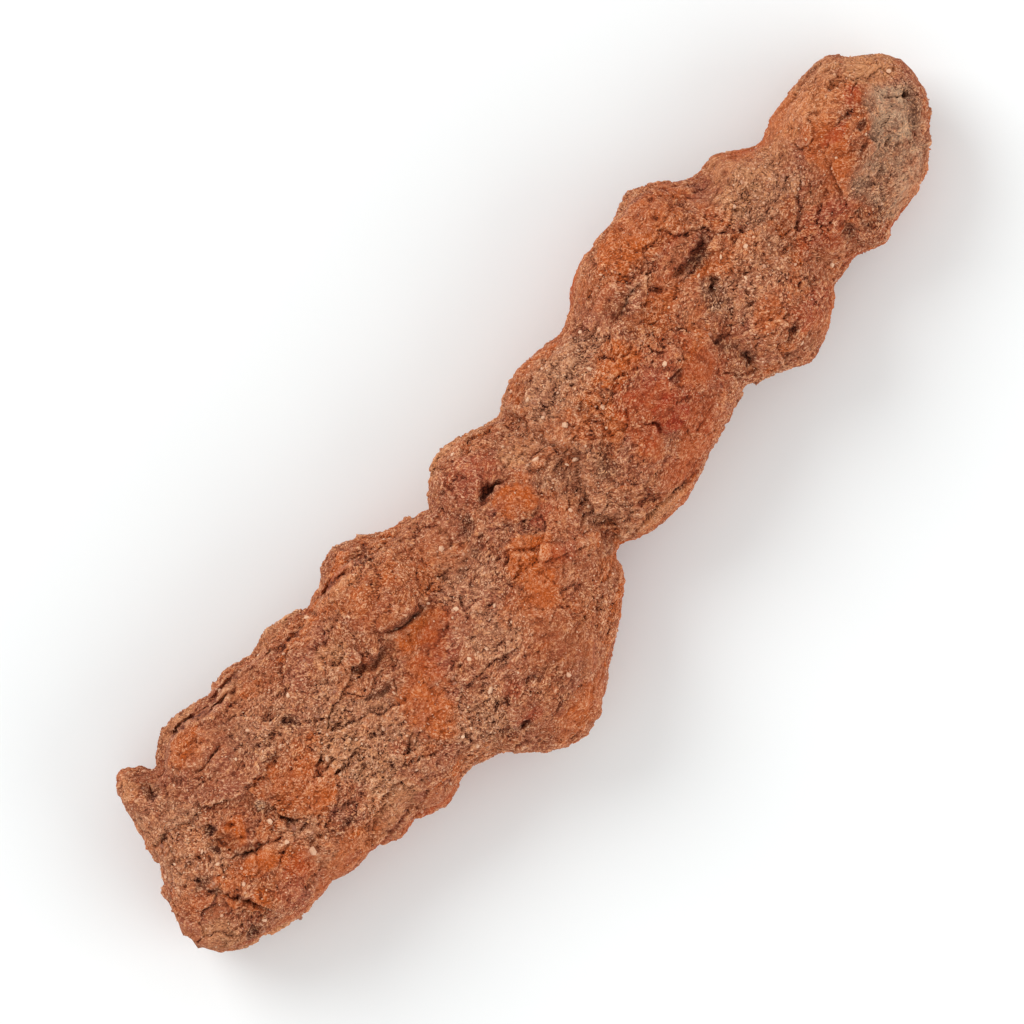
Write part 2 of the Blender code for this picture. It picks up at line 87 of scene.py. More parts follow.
# Broad relief. A lump is x, y, half length, half width, turn in degrees, height; a hollow is a lump below 0.
relief = {
    # how far the surface has to look up, as its normal's height, for a relief to start and to be full
    "lookingUp": {"lumps": (0.2, 0.8), "holes": (0.12, 0.45), "gaps": (0.25, 0.55), "facet": (-0.05, 0.35),
                  "stains": (-0.1, 0.4)},
    "domePower": 1.5,
    "lumps": [
        (-52.5, -3.2, 5.8, 3.8, 10, 1.7), (-52.6, 4.6, 3.6, 2.6, 0, 0.9), (-43.2, 1.6, 4.0, 3.6, 0, 0.9),
        (-48.0, 14.0, 8.0, 3.2, 5, 0.9), (-36.0, 0.0, 6.0, 6.5, 0, -0.3), (-30.0, -6.0, 6.0, 5.0, 20, 0.8),
        (-22.5, 10.0, 8.8, 6.0, -8, 2.4), (-12.5, 6.0, 4.5, 3.6, 0, -1.4), (-14.5, -9.0, 10.0, 9.0, 25, 2.0),
        (-6.5, -1.5, 5.0, 4.2, -40, 1.2), (-3.5, 11.2, 6.0, 4.2, 0, 1.8), (-3.2, 5.4, 3.0, 2.4, 20, 0.9),
        (-1.6, 4.0, 2.0, 2.2, -20, 0.5), (16.0, 2.0, 10.5, 8.0, 0, 2.0), (8.5, -5.5, 6.0, 4.6, 10, 0.9),
        (10.0, 11.2, 6.0, 3.6, 0, 0.7), (28.5, 14.0, 9.0, 5.2, 8, 2.4), (33.5, -4.2, 7.0, 5.6, 12, 1.8),
        (37.0, 3.0, 4.5, 4.0, 0, 0.8), (42.5, 10.0, 4.2, 4.0, 0, 1.0), (48.2, -6.0, 3.0, 2.6, 0, 1.2),
        (45.0, -1.0, 5.0, 3.0, 10, 0.7), (53.0, 6.0, 8.5, 6.5, 0, 1.6), (-57.5, 9.0, 4.0, 6.0, 0, -0.8),
        (58.9, 1.4, 3.6, 1.2, 58, 0.6)],
    "underLumps": [
        (-54.0, 8.0, 8.0, 6.0, 20, 1.0), (-38.0, -4.0, 9.0, 5.0, -10, 1.2), (-33.0, 9.0, 7.0, 5.0, 0, 0.9),
        (-20.0, -12.0, 7.0, 6.0, 30, 1.6), (-14.0, -2.0, 8.0, 6.5, 0, 1.1), (-6.0, 7.0, 7.0, 5.0, 0, 1.0),
        (2.0, 3.0, 3.0, 9.0, 0, -1.5), (12.0, -3.0, 8.0, 5.0, 10, 1.2), (20.0, 9.0, 7.0, 5.0, -15, 1.4),
        (27.0, -1.0, 3.5, 7.0, 0, -1.2), (34.0, 6.0, 7.0, 6.0, 0, 1.3), (43.0, 2.0, 4.0, 7.0, 0, -1.0),
        (54.0, 3.0, 8.0, 6.0, 0, 0.9)],
    # A pit is x, y, radius, depth.
    "pitFill": 0.8, "pitSpread": 1.35,
    "pits": [
        (-54.9, 14.3, 0.9, 1.6), (-55.3, 16.0, 0.7, 0.8), (-54.3, 6.1, 0.8, 1.3), (-55.3, 4.9, 0.5, 0.7),
        (-52.3, 5.6, 0.6, 0.9), (-59.2, 3.3, 0.9, 1.1), (-58.8, 1.6, 0.7, 0.7), (-48.1, 3.3, 0.8, 1.0),
        (-46.8, 6.3, 0.4, 0.7), (-43.1, 6.6, 0.8, 0.9), (-44.4, 10.3, 0.4, 0.6), (-39.4, 10.3, 0.5, 0.6),
        (-38.6, 8.0, 0.9, 0.9), (-40.0, 2.4, 0.5, 0.9), (-39.6, -0.1, 0.5, 0.7), (-43.3, -4.8, 0.8, 0.6),
        (-43.4, -8.6, 0.9, 0.8), (-48.4, -5.1, 0.7, 0.8), (-51.5, -6.8, 0.9, 0.8), (-59.4, -5.3, 0.8, 1.0),
        (-8.7, 7.6, 1.5, 1.4), (-8.4, 5.2, 0.8, 0.7), (-12.4, 4.2, 0.7, 0.6), (-4.7, 10.2, 0.4, 0.9),
        (-2.4, 2.2, 0.8, 0.9), (-17.0, -9.4, 1.0, 0.7), (-21.2, -12.9, 0.9, 1.0), (-24.6, -11.4, 0.8, 0.7),
        (-18.9, 12.9, 0.7, 0.8), (-13.0, 10.6, 0.7, 0.8), (1.9, 5.1, 0.8, 0.8), (7.8, -0.5, 1.3, 0.7),
        (10.5, 6.2, 0.9, 0.8), (20.3, 0.4, 0.9, 1.0), (22.0, 5.7, 0.7, 0.7), (27.3, -5.0, 1.2, 1.9),
        (26.4, -1.8, 1.7, 1.1), (30.8, -7.9, 0.5, 0.8), (46.1, -3.8, 1.0, 1.0), (48.4, -3.0, 0.6, 0.6),
        (55.7, 3.0, 0.7, 1.0), (57.5, 6.1, 0.6, 0.4), (56.0, 5.2, 0.8, 0.3), (47.6, 0.9, 0.7, 0.7),
        (63.6, 5.0, 0.5, 0.6), (31.4, 6.6, 1.6, 1.2), (33.2, 7.2, 1.0, 0.9), (30.6, 12.6, 0.7, 0.8),
        (32.2, 13.6, 0.6, 0.7), (27.0, 11.4, 0.7, 0.8)],
    # A crack is half width, depth, lift, reach and its points. The ground on its left, going along the
    # points, is lifted beside it, and the lift dies out over the reach.
    "crackShape": {"margin": 2.0, "taper": (-0.8, 2.0), "uneven": 0.6, "wall": (0.1, 1.6),
                   "liftStep": (-0.25, 0.35), "liftFade": 0.3},
    "cracks": [
        (0.50, 0.7, 1.3, 5.0, [(-30.4, 6.9), (-28.9, 5.9), (-27.6, 5.3), (-24.6, 5.0)]),     # under the flap
        (0.50, 0.9, 1.8, 5.0, [(-24.2, 7.2), (-23.0, 6.2), (-21.5, 5.7), (-18.0, 5.2)]),     # under the flap
        (0.35, 0.4, 0.6, 2.5, [(-31.8, 3.1), (-30.0, 2.4), (-27.2, 1.7)]),
        (0.55, 1.8, 0.6, 2.5, [(-50.2, 0.2), (-52.0, 1.2), (-53.4, 1.7), (-54.8, 2.8)]),     # yellow lobe
        (0.45, 1.3, 0.3, 1.5, [(-50.4, 0.5), (-51.4, 1.4), (-52.6, 2.6)]),
        (0.38, 1.4, 0.6, 2.5, [(-46.1, -0.8), (-47.0, -0.1), (-47.6, 1.3), (-47.7, 2.6)]),   # nodule
        (0.26, 0.7, 0.2, 1.5, [(-48.7, 1.9), (-49.4, 1.7), (-50.1, 1.1)]),
        (0.25, 0.5, 0.3, 1.5, [(-50.0, -0.8), (-51.4, -1.2), (-52.9, -2.1)]),
        (0.42, 1.4, 1.1, 3.0, [(-58.5, 0.8), (-58.0, -0.8), (-56.8, -2.8), (-55.0, -5.4), (-53.2, -6.2),
                               (-50.2, -6.3)]),
        (0.25, 0.5, 0.0, 1.0, [(-58.2, 2.6), (-55.2, 2.5)]),
        (0.30, 0.9, 0.4, 2.5, [(-50.2, 12.4), (-48.0, 12.1), (-45.4, 12.2)]),
        (0.40, 0.6, 0.0, 1.5, [(-47.9, -2.3), (-47.4, -4.1)]),
        (0.35, 0.8, 0.3, 2.0, [(-61.2, -4.9), (-59.5, -5.2), (-57.2, -5.0)]),
        (0.50, 1.9, 0.6, 2.0, [(-1.6, 6.8), (-2.6, 7.8), (-3.8, 8.1), (-5.0, 7.3)]),         # ochre block
        (0.35, 0.9, 0.3, 1.5, [(-3.0, 1.7), (-1.2, 3.2)]),
        (1.40, 1.5, 0.2, 2.0, [(1.9, -7.2), (1.6, -3.0), (4.6, 2.0), (4.0, 8.0), (3.8, 12.8)]),  # first neck
        (0.30, 0.8, 0.4, 2.0, [(0.5, 5.0), (3.2, 4.8)]),
        (0.40, 1.2, 0.3, 1.5, [(14.2, -3.2), (14.5, -1.5), (13.2, 0.2)]),
        (0.30, 0.7, 0.2, 1.5, [(21.6, 2.9), (20.4, 4.2), (20.6, 5.8)]),
        (0.70, 1.3, 0.5, 3.0, [(25.0, 10.5), (21.5, 9.9), (18.8, 9.0)]),
        (0.30, 0.8, 0.3, 2.0, [(25.2, 9.6), (26.6, 8.6), (27.4, 7.4)]),
        (0.35, 1.1, 1.2, 4.0, [(28.2, 8.4), (29.6, 7.8), (31.2, 7.6), (32.8, 8.1), (34.9, 8.7)]),      # cleft
        (0.50, 1.5, 0.3, 2.0, [(32.0, 5.6), (31.0, 4.2), (30.4, 2.6)]),
        (0.35, 1.3, 0.4, 2.0, [(34.6, -5.0), (33.2, -5.4), (31.6, -6.4)]),
        (1.50, 0.8, 0.0, 2.0, [(39.5, 14.2), (41.0, 6.0), (41.5, -6.4)]),                    # second neck
        (0.35, 1.0, 0.2, 1.5, [(40.4, 0.3), (43.4, 1.4)]),
        (0.22, 0.5, 0.2, 1.5, [(40.2, -4.0), (42.6, -5.0)]),
        (0.22, 0.8, 0.4, 2.5, [(54.2, 9.1), (56.0, 8.3), (58.6, 7.6)]),
        (0.20, 0.5, 0.3, 2.0, [(59.4, 9.9), (60.8, 8.0), (62.8, 6.4)]),
        (0.45, 2.0, 0.0, 1.0, [(60.9, 0.9), (63.1, 2.3)]),      # slit in the head
        (0.40, 0.7, 0.5, 2.0, [(63.4, 2.6), (61.8, 0.7), (59.8, -2.0), (58.9, -3.8)]),
        (0.35, 0.8, 0.3, 2.0, [(54.0, 12.3), (52.4, 11.6), (50.2, 11.5)]),
        (0.30, 0.5, 0.35, 3.0, [(-2.2, -2.8), (-5.0, -0.6), (-8.5, 1.9), (-10.2, 1.7)]),
        (0.25, 0.6, 0.3, 2.0, [(-17.6, 10.9), (-18.4, 11.6), (-19.6, 11.2)]),
        (0.25, 0.6, 0.2, 2.0, [(-13.4, 9.6), (-15.6, 10.1)])],
    # The far side of the block is layered: past this line the lower layer stands out as a rim.
    "rimLine": [
        (-57.0, 13.2), (-52.0, 15.6), (-50.0, 16.9), (-47.0, 17.0), (-45.0, 15.8), (-43.0, 15.5),
        (-41.0, 16.2), (-37.0, 16.2), (-32.0, 14.3), (-28.0, 14.2), (-22.0, 13.8), (-19.0, 13.2),
        (-16.0, 15.0)],
    "rimReach": (-54.0, -18.0), "rimFade": 2.5, "rimDropShare": 0.35, "rimStep": 0.5,
    "rimWander": (1.6, 0.35),   # size and height of the noise that the line wanders by
    "rimInset": 1.1,            # the line keeps at least this far inside the far edge
    "rimCalm": 0.75,            # share of the wandering that its gaps are spared
    # Gaps between its layers, as cracks; they go straight down.
    "rimCracks": [
        (0.38, 1.7, 0.0, 1.0, [(-53.4, 15.3), (-52.2, 16.1), (-50.8, 17.0), (-49.4, 17.4), (-47.8, 17.3),
                               (-46.4, 16.8), (-45.4, 15.9), (-44.4, 15.7), (-43.4, 15.9)]),
        (0.42, 1.7, 0.0, 1.0, [(-43.6, 15.9), (-42.2, 16.3), (-40.8, 16.4), (-39.0, 16.3), (-37.2, 16.5)]),
        (0.30, 1.2, 0.0, 1.0, [(-45.6, 15.2), (-44.2, 15.4), (-42.4, 15.1), (-40.2, 15.1)]),
        (0.40, 1.4, 0.0, 1.0, [(-35.6, 15.3), (-33.6, 14.7), (-31.8, 14.3), (-28.6, 14.3)]),
        (0.45, 2.4, 0.0, 1.0, [(-27.6, 14.6), (-27.4, 13.2)]),
        (0.50, 1.4, 0.0, 1.0, [(-27.2, 14.0), (-25.4, 14.3), (-23.8, 14.2), (-22.4, 13.5), (-20.6, 13.2)])],
}

# The worn face of the head: a plane through a point, its falls per millimetre towards the near side and the
# head, its border, and the distances from the border and the places along X over which it begins.
facet = {
    "point": (57.0, 1.5, 15.3), "fallNear": 0.5, "fallHead": 0.15,
    "border": [
        (48.4, -1.2), (49.6, 0.2), (53.0, 0.0), (55.0, 0.5), (56.5, 2.0), (58.0, 4.3), (60.0, 5.0),
        (61.6, 4.5), (63.0, 2.7), (65.0, 2.0)],
    "borderRounding": 0.3, "borderWander": 0.5, "cutRim": (-0.3, 0.6), "cutStart": (48.6, 50.4),
    # its grey: how much near the near rim, how much more across, how uneven, where it starts and ends, and
    # the slant of its end
    "colourRim": (-1.1, 1.5), "greyNear": 0.62, "greyFar": 0.38, "greyAcross": (-3.0, 1.0),
    "greyUneven": 0.35, "greyStart": (48.6, 51.0), "greyEnd": (61.0, 62.6), "greySlant": 0.6,
}

# Fine relief: sizes and heights in millimetres.
grainy = {
    "seed": 41,
    "warp": [(5.0, 0.45), (1.8, 0.26), (0.8, 0.16), (0.4, 0.08)],           # how far drawn features wander
    "waves": [(15.0, 0.40), (7.0, 0.30), (3.6, 0.14)],
    # clods and grains: cell size, height and share of the cells filled; a clod's smallest radius and how much
    # more the largest has, in cells; and the mean that is taken off, so that they don't swell the stone
    "clods": [(4.6, 0.28, 0.4), (2.4, 0.18, 0.4), (1.3, 0.13, 0.5)],
    "clodRadius": (0.35, 0.45), "clodGround": 0.3,
    "grains": [(0.75, 0.06, 0.6), (0.45, 0.045, 0.8)],
    "gritHeight": 0.055,
    # how rough each kind of ground is, the share of the relief that is left at the ends, and the reach over
    # which the broad form is averaged to give the fine relief its direction
    "busy": {"plain": 0.95, "uneven": 0.5, "sand": 0.35, "clay": 0.35, "wornFace": 0.15,
             "least": 0.4, "most": 1.5},
    "endShare": 0.65, "normalReach": 0.25,
    # broken bedding: its spacing, height and seed, and how the beds wander, rise, lean and drop
    "ledges": [(3.8, 0.32, 101), (1.7, 0.18, 111)],
    "bedding": {"wander": 0.7, "wanderSize": 2.0, "rise": 0.8, "lean": 0.55, "dropFrom": 0.88,
                "patchSize": 2.2, "patches": (-0.25, 0.35)},
    # broken plates: their size and height, the height of the strokes drawn across each one, its weight in the
    # plates' tint, and a seed
    "plates": [(5.0, 0.60, 0.20, 0.5, 141), (2.2, 0.34, 0.15, 0.35, 151), (1.0, 0.17, 0.0, 0.15, 161)],
    "plate": {"shorter": 0.65, "wander": 0.4, "wanderSize": 0.9, "tilt": 0.9, "step": 0.9, "turn": 2.4,
              "creviceWidth": 0.12, "creviceDepth": 0.32, "patchSize": 1.7, "patches": (0.0, 0.6),
              "strokeWidth": 0.65, "strokeStretch": 5.0},
    "creases": [(6.4, 0.20, 121), (2.8, 0.14, 131)],        # size, depth and seed of the branching cracks
    "creaseWidth": 0.07, "creasePatchSize": 1.6, "creasePatches": (0.0, 0.45),
    "calmAndLively": (0.3, 0.7),        # the height where the stone is smooth, and what busy stone adds
    # scattered pits and cracks: how many, the area they lie in, and ranges for their sizes
    "scatterOver": (64.0, 19.0), "scatterReach": 2.5,
    "pits": 520, "pitRadius": (0.10, 0.34), "pitDepth": (0.12, 0.45), "pitLength": (1.0, 1.9),
    "pitTurn": (-0.8, 0.8), "fullPit": 0.3, "pitWall": (0.3, 1.15),
    "cracks": 110, "crackLength": (0.8, 3.6), "crackHalfWidth": (0.08, 0.20), "crackDepth": (0.2, 0.5),
    "crackHeading": 0.7, "crackBend": 0.4, "crackTaper": (-0.3, 0.8), "crackWall": (0.1, 2.0),
}

# Noises that make drawn things uneven: size, seed, number of layers and how much each layer keeps.
noises = {
    "cracks": (1.4, 91, 3), "facetBorder": (2.2, 95, 3), "busy": (6.0, 97, 3), "grit": (0.7, 71, 3, 0.7),
    "stainRims": (3.4, 51, 5, 0.7), "stainStrength": (2.0, 57, 4, 0.7),
}

# The skin is one whole body and, over its upper side, four crusts with finer points.
# Under a crust the body lies a little deeper, and a crust's rim dives under its neighbours.
skins = {
    "body": {"rings": 430, "pointsAround": 229, "upperDensity": 0.6, "sink": 1.6,
             "sinkOver": (1.0, 2.6)},
    "crusts": {"broken_end_crust": (-64.3, -29.0), "bulge_crust": (-30.0, 2.0),
               "middle_crust": (1.0, 33.5), "head_crust": (32.5, 64.3)},
    "crustPoints": 98000, "crustAngles": (-28.0, 208.0), "rimSink": 0.9, "rimWidth": 0.5,
}

# How a patch of colour ends, and the blobs of the same colours on the sides and below: a blob noise is
# size, height and seed.
patchRim = {
    "ragged": 0.65, "fade": (0.66, 1.10), "strength": 0.85, "uneven": 0.35,
    "blobs": [(9.0, 1.0, 70), (3.0, 0.5, 80)], "blobFade": (0.25, 0.8), "blobStrength": 0.8,
    # umber, being painted shade in hollows, gets no blobs on the sides and below
    "noBlobs": ["umberAndPaintedShade"],
}

# Colour patches of the upper side: x, y, half length, half width, turn in degrees, strength.
patches = {
    "ochre": [
        (-52.4, 4.3, 2.6, 1.6, 0, 0.9), (-53.6, 0.0, 2.6, 1.2, -20, 1.0), (-43.3, 1.5, 3.8, 3.6, 0, 0.6),
        (-27.2, -3.2, 3.4, 3.8, 0, 0.8), (-21.0, 3.4, 4.0, 1.9, 0, 0.9), (-48.5, 14.3, 2.6, 1.8, 0, 0.5),
        (-6.8, -1.6, 3.8, 4.4, -30, 0.95), (-3.4, 5.2, 1.8, 1.7, 30, 0.9), (-1.7, 4.2, 1.2, 1.7, -20, 0.9),
        (-12.0, -3.0, 3.0, 2.0, 0, 0.4), (17.2, 6.4, 2.6, 2.6, 0, 0.9), (11.2, 1.8, 2.4, 2.2, 0, 0.8),
        (12.8, -2.0, 1.8, 2.2, 0, 0.7), (24.0, 6.8, 4.2, 2.4, 0, 0.7), (32.8, -2.6, 1.6, 2.4, -50, 0.7),
        (37.0, 9.0, 1.6, 2.0, 0, 0.5), (51.5, 4.0, 2.6, 4.0, 0, 0.6), (53.0, 8.5, 6.0, 3.0, 0, 0.45),
        (-16.0, -17.0, 6.0, 2.4, 10, 0.55), (-24.0, 0.2, 3.4, 2.2, 40, 0.7), (30.0, 14.0, 8.0, 3.4, 0, 0.7),
        (-20.0, 9.0, 6.0, 4.0, 0, 0.4), (-52.0, -7.2, 9.0, 1.6, 0, 0.5), (-10.0, -9.0, 7.0, 4.0, -20, 0.35),
        (16.0, -6.4, 7.0, 2.0, 0, 0.5), (-44.0, -7.4, 4.0, 2.0, 0, 0.5), (50.0, 1.0, 3.0, 1.2, 0, 0.5),
        (22.4, -0.6, 2.6, 2.6, 0, 0.6), (-30.4, 5.6, 3.0, 2.4, 0, 0.4), (18.8, -4.2, 3.0, 2.0, 0, 0.45),
        (22.0, 2.2, 2.6, 2.2, 0, 0.35), (35.2, -7.0, 2.4, 1.6, 0, 0.4), (-22.0, 1.0, 2.2, 1.8, 0, 0.35),
        (49.0, 0.6, 3.0, 2.0, 0, 0.3), (14.6, 0.8, 3.6, 3.0, 0, 0.5), (22.5, 12.0, 3.0, 1.4, 0, 0.35)],
    # paler patches: partly paler stone, and partly painted light on the rims, ledges and head half that face
    # the far-side lamp
    "peachAndPaintedLight": [
        (53.0, 9.4, 7.5, 3.6, 0, 0.8), (61.6, 7.2, 3.2, 3.6, 0, 0.9), (-47.5, 17.8, 5.0, 0.9, 0, 0.7),
        (1.6, 8.6, 2.6, 1.8, 0, 0.6), (-5.2, 0.4, 2.2, 1.4, -20, 0.7), (42.5, 11.6, 3.4, 2.6, 0, 0.6),
        (-56.8, 17.0, 1.6, 2.0, 0, 0.5), (31.0, 9.6, 3.6, 0.8, 5, 0.8), (-34.0, 16.2, 5.0, 0.8, 0, 0.5),
        (30.5, 17.8, 5.0, 1.2, 5, 0.5), (-23.0, 12.4, 3.4, 1.0, -5, 0.4), (-36.5, 2.0, 3.6, 4.6, 0, 0.35),
        (-62.4, -2.6, 2.4, 3.4, 0, 0.7), (-30.0, 9.2, 2.4, 1.8, 0, 0.5), (42.0, 8.4, 5.0, 2.8, 0, 0.6),
        (8.0, -8.0, 3.6, 1.4, 0, 0.6), (-37.5, -6.6, 4.2, 2.6, 0, 0.5), (-41.0, 15.4, 2.0, 1.2, 0, 0.5),
        (-42.0, -8.2, 3.0, 1.4, 0, 0.5), (-36.0, -3.0, 2.6, 2.0, 0, 0.4), (48.0, 8.4, 4.0, 2.4, 0, 0.4)],
    "brick": [
        (16.5, 0.5, 6.0, 5.0, 0, 0.55), (16.3, -1.8, 3.0, 2.4, 0, 0.9), (23.0, -2.5, 3.0, 3.6, 0, 0.35),
        (22.5, 3.0, 2.4, 1.6, 0, 0.4), (37.0, -5.8, 4.0, 2.2, -15, 0.6), (44.6, -1.2, 5.0, 2.4, 0, 0.5),
        (-51.5, -3.4, 3.6, 1.8, 10, 0.5), (-4.0, -3.0, 2.6, 1.4, -20, 0.5), (-2.0, 1.6, 2.0, 1.2, 0, 0.6),
        (-4.0, 9.6, 4.0, 2.0, 0, 0.4), (-20.0, 0.5, 5.0, 3.0, 0, 0.35), (31.0, 9.4, 4.0, 1.8, 0, 0.5),
        (-20.5, -12.4, 2.2, 0.9, -20, 0.6), (-19.0, -8.6, 1.8, 1.2, 0, 0.5), (53.0, 4.6, 2.0, 0.8, 0, 0.6),
        (57.4, 6.0, 1.4, 1.0, 30, 0.6), (-33.0, -3.4, 1.6, 1.0, 0, 0.4), (13.6, -6.6, 5.0, 1.8, 0, 0.3),
        (18.4, -4.4, 3.0, 2.0, 0, 0.5)],
    "sand": [
        (-34.5, 1.0, 6.5, 9.0, 0, 0.8), (-58.0, 9.0, 4.5, 7.0, 0, 0.7), (-12.5, 4.0, 4.5, 4.0, 0, 0.5),
        (-16.0, -3.0, 4.0, 5.0, 0, 0.7), (4.0, 4.0, 4.0, 11.0, 0, 0.6), (11.5, 10.2, 8.0, 3.4, 0, 0.9),
        (42.8, 6.8, 5.4, 4.0, 0, 0.9), (-24.0, -9.0, 5.0, 4.0, 20, 0.6), (21.0, 3.6, 2.0, 3.4, 0, 0.8),
        (36.0, 2.0, 4.0, 4.0, 0, 0.45), (-47.0, -3.0, 2.4, 4.0, 0, 0.5), (-42.0, 10.0, 5.0, 4.0, 0, 0.5),
        (4.0, -4.6, 3.0, 3.0, 0, 0.5), (-49.4, 0.4, 2.4, 1.5, 0, 0.6), (32.0, 1.6, 4.2, 3.4, 0, 0.5)],
    # dark brown patches: partly a brown stain, and partly painted shade in pits, cracks, under the flap and
    # on the darker lower sides of lobes
    "umberAndPaintedShade": [
        (-54.9, 14.6, 1.3, 1.6, 20, 0.8), (-59.2, 3.1, 1.2, 0.8, 0, 0.9), (-58.8, 1.5, 0.7, 0.8, 0, 0.7),
        (-53.4, 2.1, 1.7, 0.9, -30, 0.9), (-51.2, 1.2, 1.2, 0.6, -45, 0.8), (-48.1, 3.3, 0.8, 1.4, 0, 0.8),
        (-54.4, 6.1, 0.9, 0.6, 20, 0.9), (-55.4, 4.8, 0.6, 0.6, 0, 0.7), (-43.2, 6.7, 1.0, 0.9, 0, 0.6),
        (-38.6, 8.0, 1.1, 1.1, 0, 0.6), (-47.5, -3.3, 0.6, 1.4, 10, 0.6), (-43.3, -5.0, 1.6, 0.6, 0, 0.5),
        (-59.4, -5.3, 1.2, 0.6, 0, 0.8), (-29.0, 5.9, 1.0, 0.5, -30, 0.7), (-26.5, 5.1, 1.6, 0.5, 0, 0.5),
        (-21.0, 5.5, 2.2, 0.5, -10, 0.9), (-29.6, 2.3, 2.0, 0.4, -15, 0.6), (-8.6, 7.4, 1.5, 1.3, 0, 0.7),
        (-9.0, 5.0, 1.6, 0.6, 0, 0.6), (-3.4, 7.7, 1.8, 0.5, 0, 0.9), (-2.2, 2.4, 1.0, 0.8, 30, 0.6),
        (-12.6, 4.2, 1.6, 1.0, 0, 0.5), (-17.0, -9.4, 1.4, 0.8, 0, 0.5), (-22.2, -12.6, 2.0, 0.6, -25, 0.7),
        (-24.0, 13.9, 2.4, 0.5, 0, 0.6), (-18.9, 12.9, 0.8, 0.6, 0, 0.6), (0.0, -6.6, 1.6, 0.8, 20, 0.6),
        (7.6, -0.6, 1.6, 1.1, 0, 0.6), (10.4, 6.1, 1.2, 0.8, 0, 0.6), (20.2, 0.5, 1.0, 0.8, 0, 0.6),
        (23.2, 10.2, 3.0, 0.8, 5, 0.7), (31.6, 7.0, 2.2, 0.9, 0, 0.8), (33.8, 8.2, 1.4, 0.6, 20, 0.7),
        (30.9, 3.9, 1.0, 1.6, -30, 0.7), (26.8, -2.2, 1.6, 2.2, 0, 0.7), (27.3, -4.9, 1.6, 0.9, 0, 0.9),
        (32.8, -5.8, 1.6, 0.6, 25, 0.8), (46.0, -3.8, 1.2, 0.8, 0, 0.8), (51.0, -1.8, 2.0, 2.4, 0, 0.6),
        (54.8, -2.2, 3.2, 2.2, 10, 0.5), (50.0, -4.2, 3.0, 1.8, 0, 0.7), (61.4, 0.2, 2.4, 1.0, 55, 0.75),
        (56.6, 1.9, 1.4, 0.9, 60, 0.5), (55.8, 3.0, 0.8, 0.6, 0, 0.8), (-0.4, 12.6, 1.6, 0.6, -20, 0.3),
        (57.6, 4.2, 1.6, 0.8, -30, 0.4), (53.1, 0.7, 1.8, 1.2, 0, 0.5), (30.2, 3.4, 1.8, 2.6, -30, 0.7),
        (22.0, 10.8, 3.2, 1.2, 0, 0.4), (32.0, -8.4, 3.6, 1.2, 0, 0.35), (-54.0, 4.4, 1.6, 1.2, 0, 0.5),
        (22.4, 7.6, 3.0, 2.0, 0, 0.3), (14.0, -4.2, 2.0, 1.4, 0, 0.25), (26.4, -4.0, 2.6, 1.8, 0, 0.3),
        (-12.0, -10.0, 5.5, 4.0, -10, 0.28), (2.4, 3.2, 3.0, 2.6, 0, 0.3), (7.0, 12.4, 3.4, 1.6, 0, 0.25),
        (38.0, 0.4, 2.4, 1.8, 0, 0.2)],
}


def smoothStep(value, start, end):
    # rises from 0 at start to 1 at end, level at both
    share = np.clip((value - start) / (end - start), 0.0, 1.0)
    return share * share * (3.0 - 2.0 * share)


def readLine(points, x, rounding):
    # the line through the points, read at x, with its turns rounded by averaging nearby readings
    knots = np.array(points)
    shifts = np.linspace(-rounding, rounding, 7)
    return np.mean([np.interp(x + shift, knots[:, 0], knots[:, 1]) for shift in shifts], axis=0)


def formLine(name, x):
    # one of the form's lines, read at x
    return readLine(form[name], x, form["edgeRounding" if name.endswith("Edge") else "heightRounding"])


# Random numbers at the corners of a cube of cells, repeated through space: every noise reads them.
tableSide = 64                          # cells along the cube's side, a power of 2
noiseTable = np.random.default_rng(3).random((4, tableSide ** 3)).astype(np.float32)
seedCells = np.array((17, 31, 47))      # how many cells one step of a seed moves the table by
seedOffset = 0.37                       # and by what part of a cell
nearCells = np.array([(n // 9 - 1, n // 3 % 3 - 1, n % 3 - 1) for n in range(27)])


def tableRows(corner, seed):
    # the row of the table for each cell corner, in a different place for each seed
    folded = (corner.astype(np.int64) + seedCells * seed) & (tableSide - 1)
    return (folded[:, 0] * tableSide + folded[:, 1]) * tableSide + folded[:, 2]


def awayFromCellPoint(scaled, corner, step, rows):
    # squared distance to the random point of the cell one step away, in cells
    return sum((scaled[:, n] - corner[:, n] - step[n] - noiseTable[n].take(rows)) ** 2 for n in range(3))


def latticeNoise(points, size, seed):
    # smooth noise from -1 to 1: random values at the corners of a lattice, blended between them
    scaled = points / size + seedOffset * seed
    corner = np.floor(scaled)
    blend = scaled - corner
    blend = blend * blend * (3.0 - 2.0 * blend)
    moved = corner.astype(np.int64) + seedCells * seed
    columns = [[((moved[:, axis] + step) & (tableSide - 1)) * tableSide ** (2 - axis) for step in (0, 1)]
               for axis in range(3)]
    total = 0.0
    for stepX, shareX in enumerate((1.0 - blend[:, 0], blend[:, 0])):
        for stepY, shareY in enumerate((1.0 - blend[:, 1], blend[:, 1])):
            rows = columns[0][stepX] + columns[1][stepY]
            low, high = noiseTable[0].take(rows + columns[2][0]), noiseTable[0].take(rows + columns[2][1])
            total = total + shareX * shareY * (low + (high - low) * blend[:, 2])
    return 2.0 * total - 1.0


def layeredNoise(points, size, seed, layers=4, keep=0.5):
    # smooth noise with finer and weaker layers on top, each half the size of the one before
    total = sum(keep ** n * latticeNoise(points, size * 0.5 ** n, seed + n) for n in range(layers))
    return total / sum(keep ** n for n in range(layers))


def waveSum(points, waves, seed):
    # smooth noises added up, each with its own size and height
    return sum(height * latticeNoise(points, size, seed + n) for n, (size, height) in enumerate(waves))


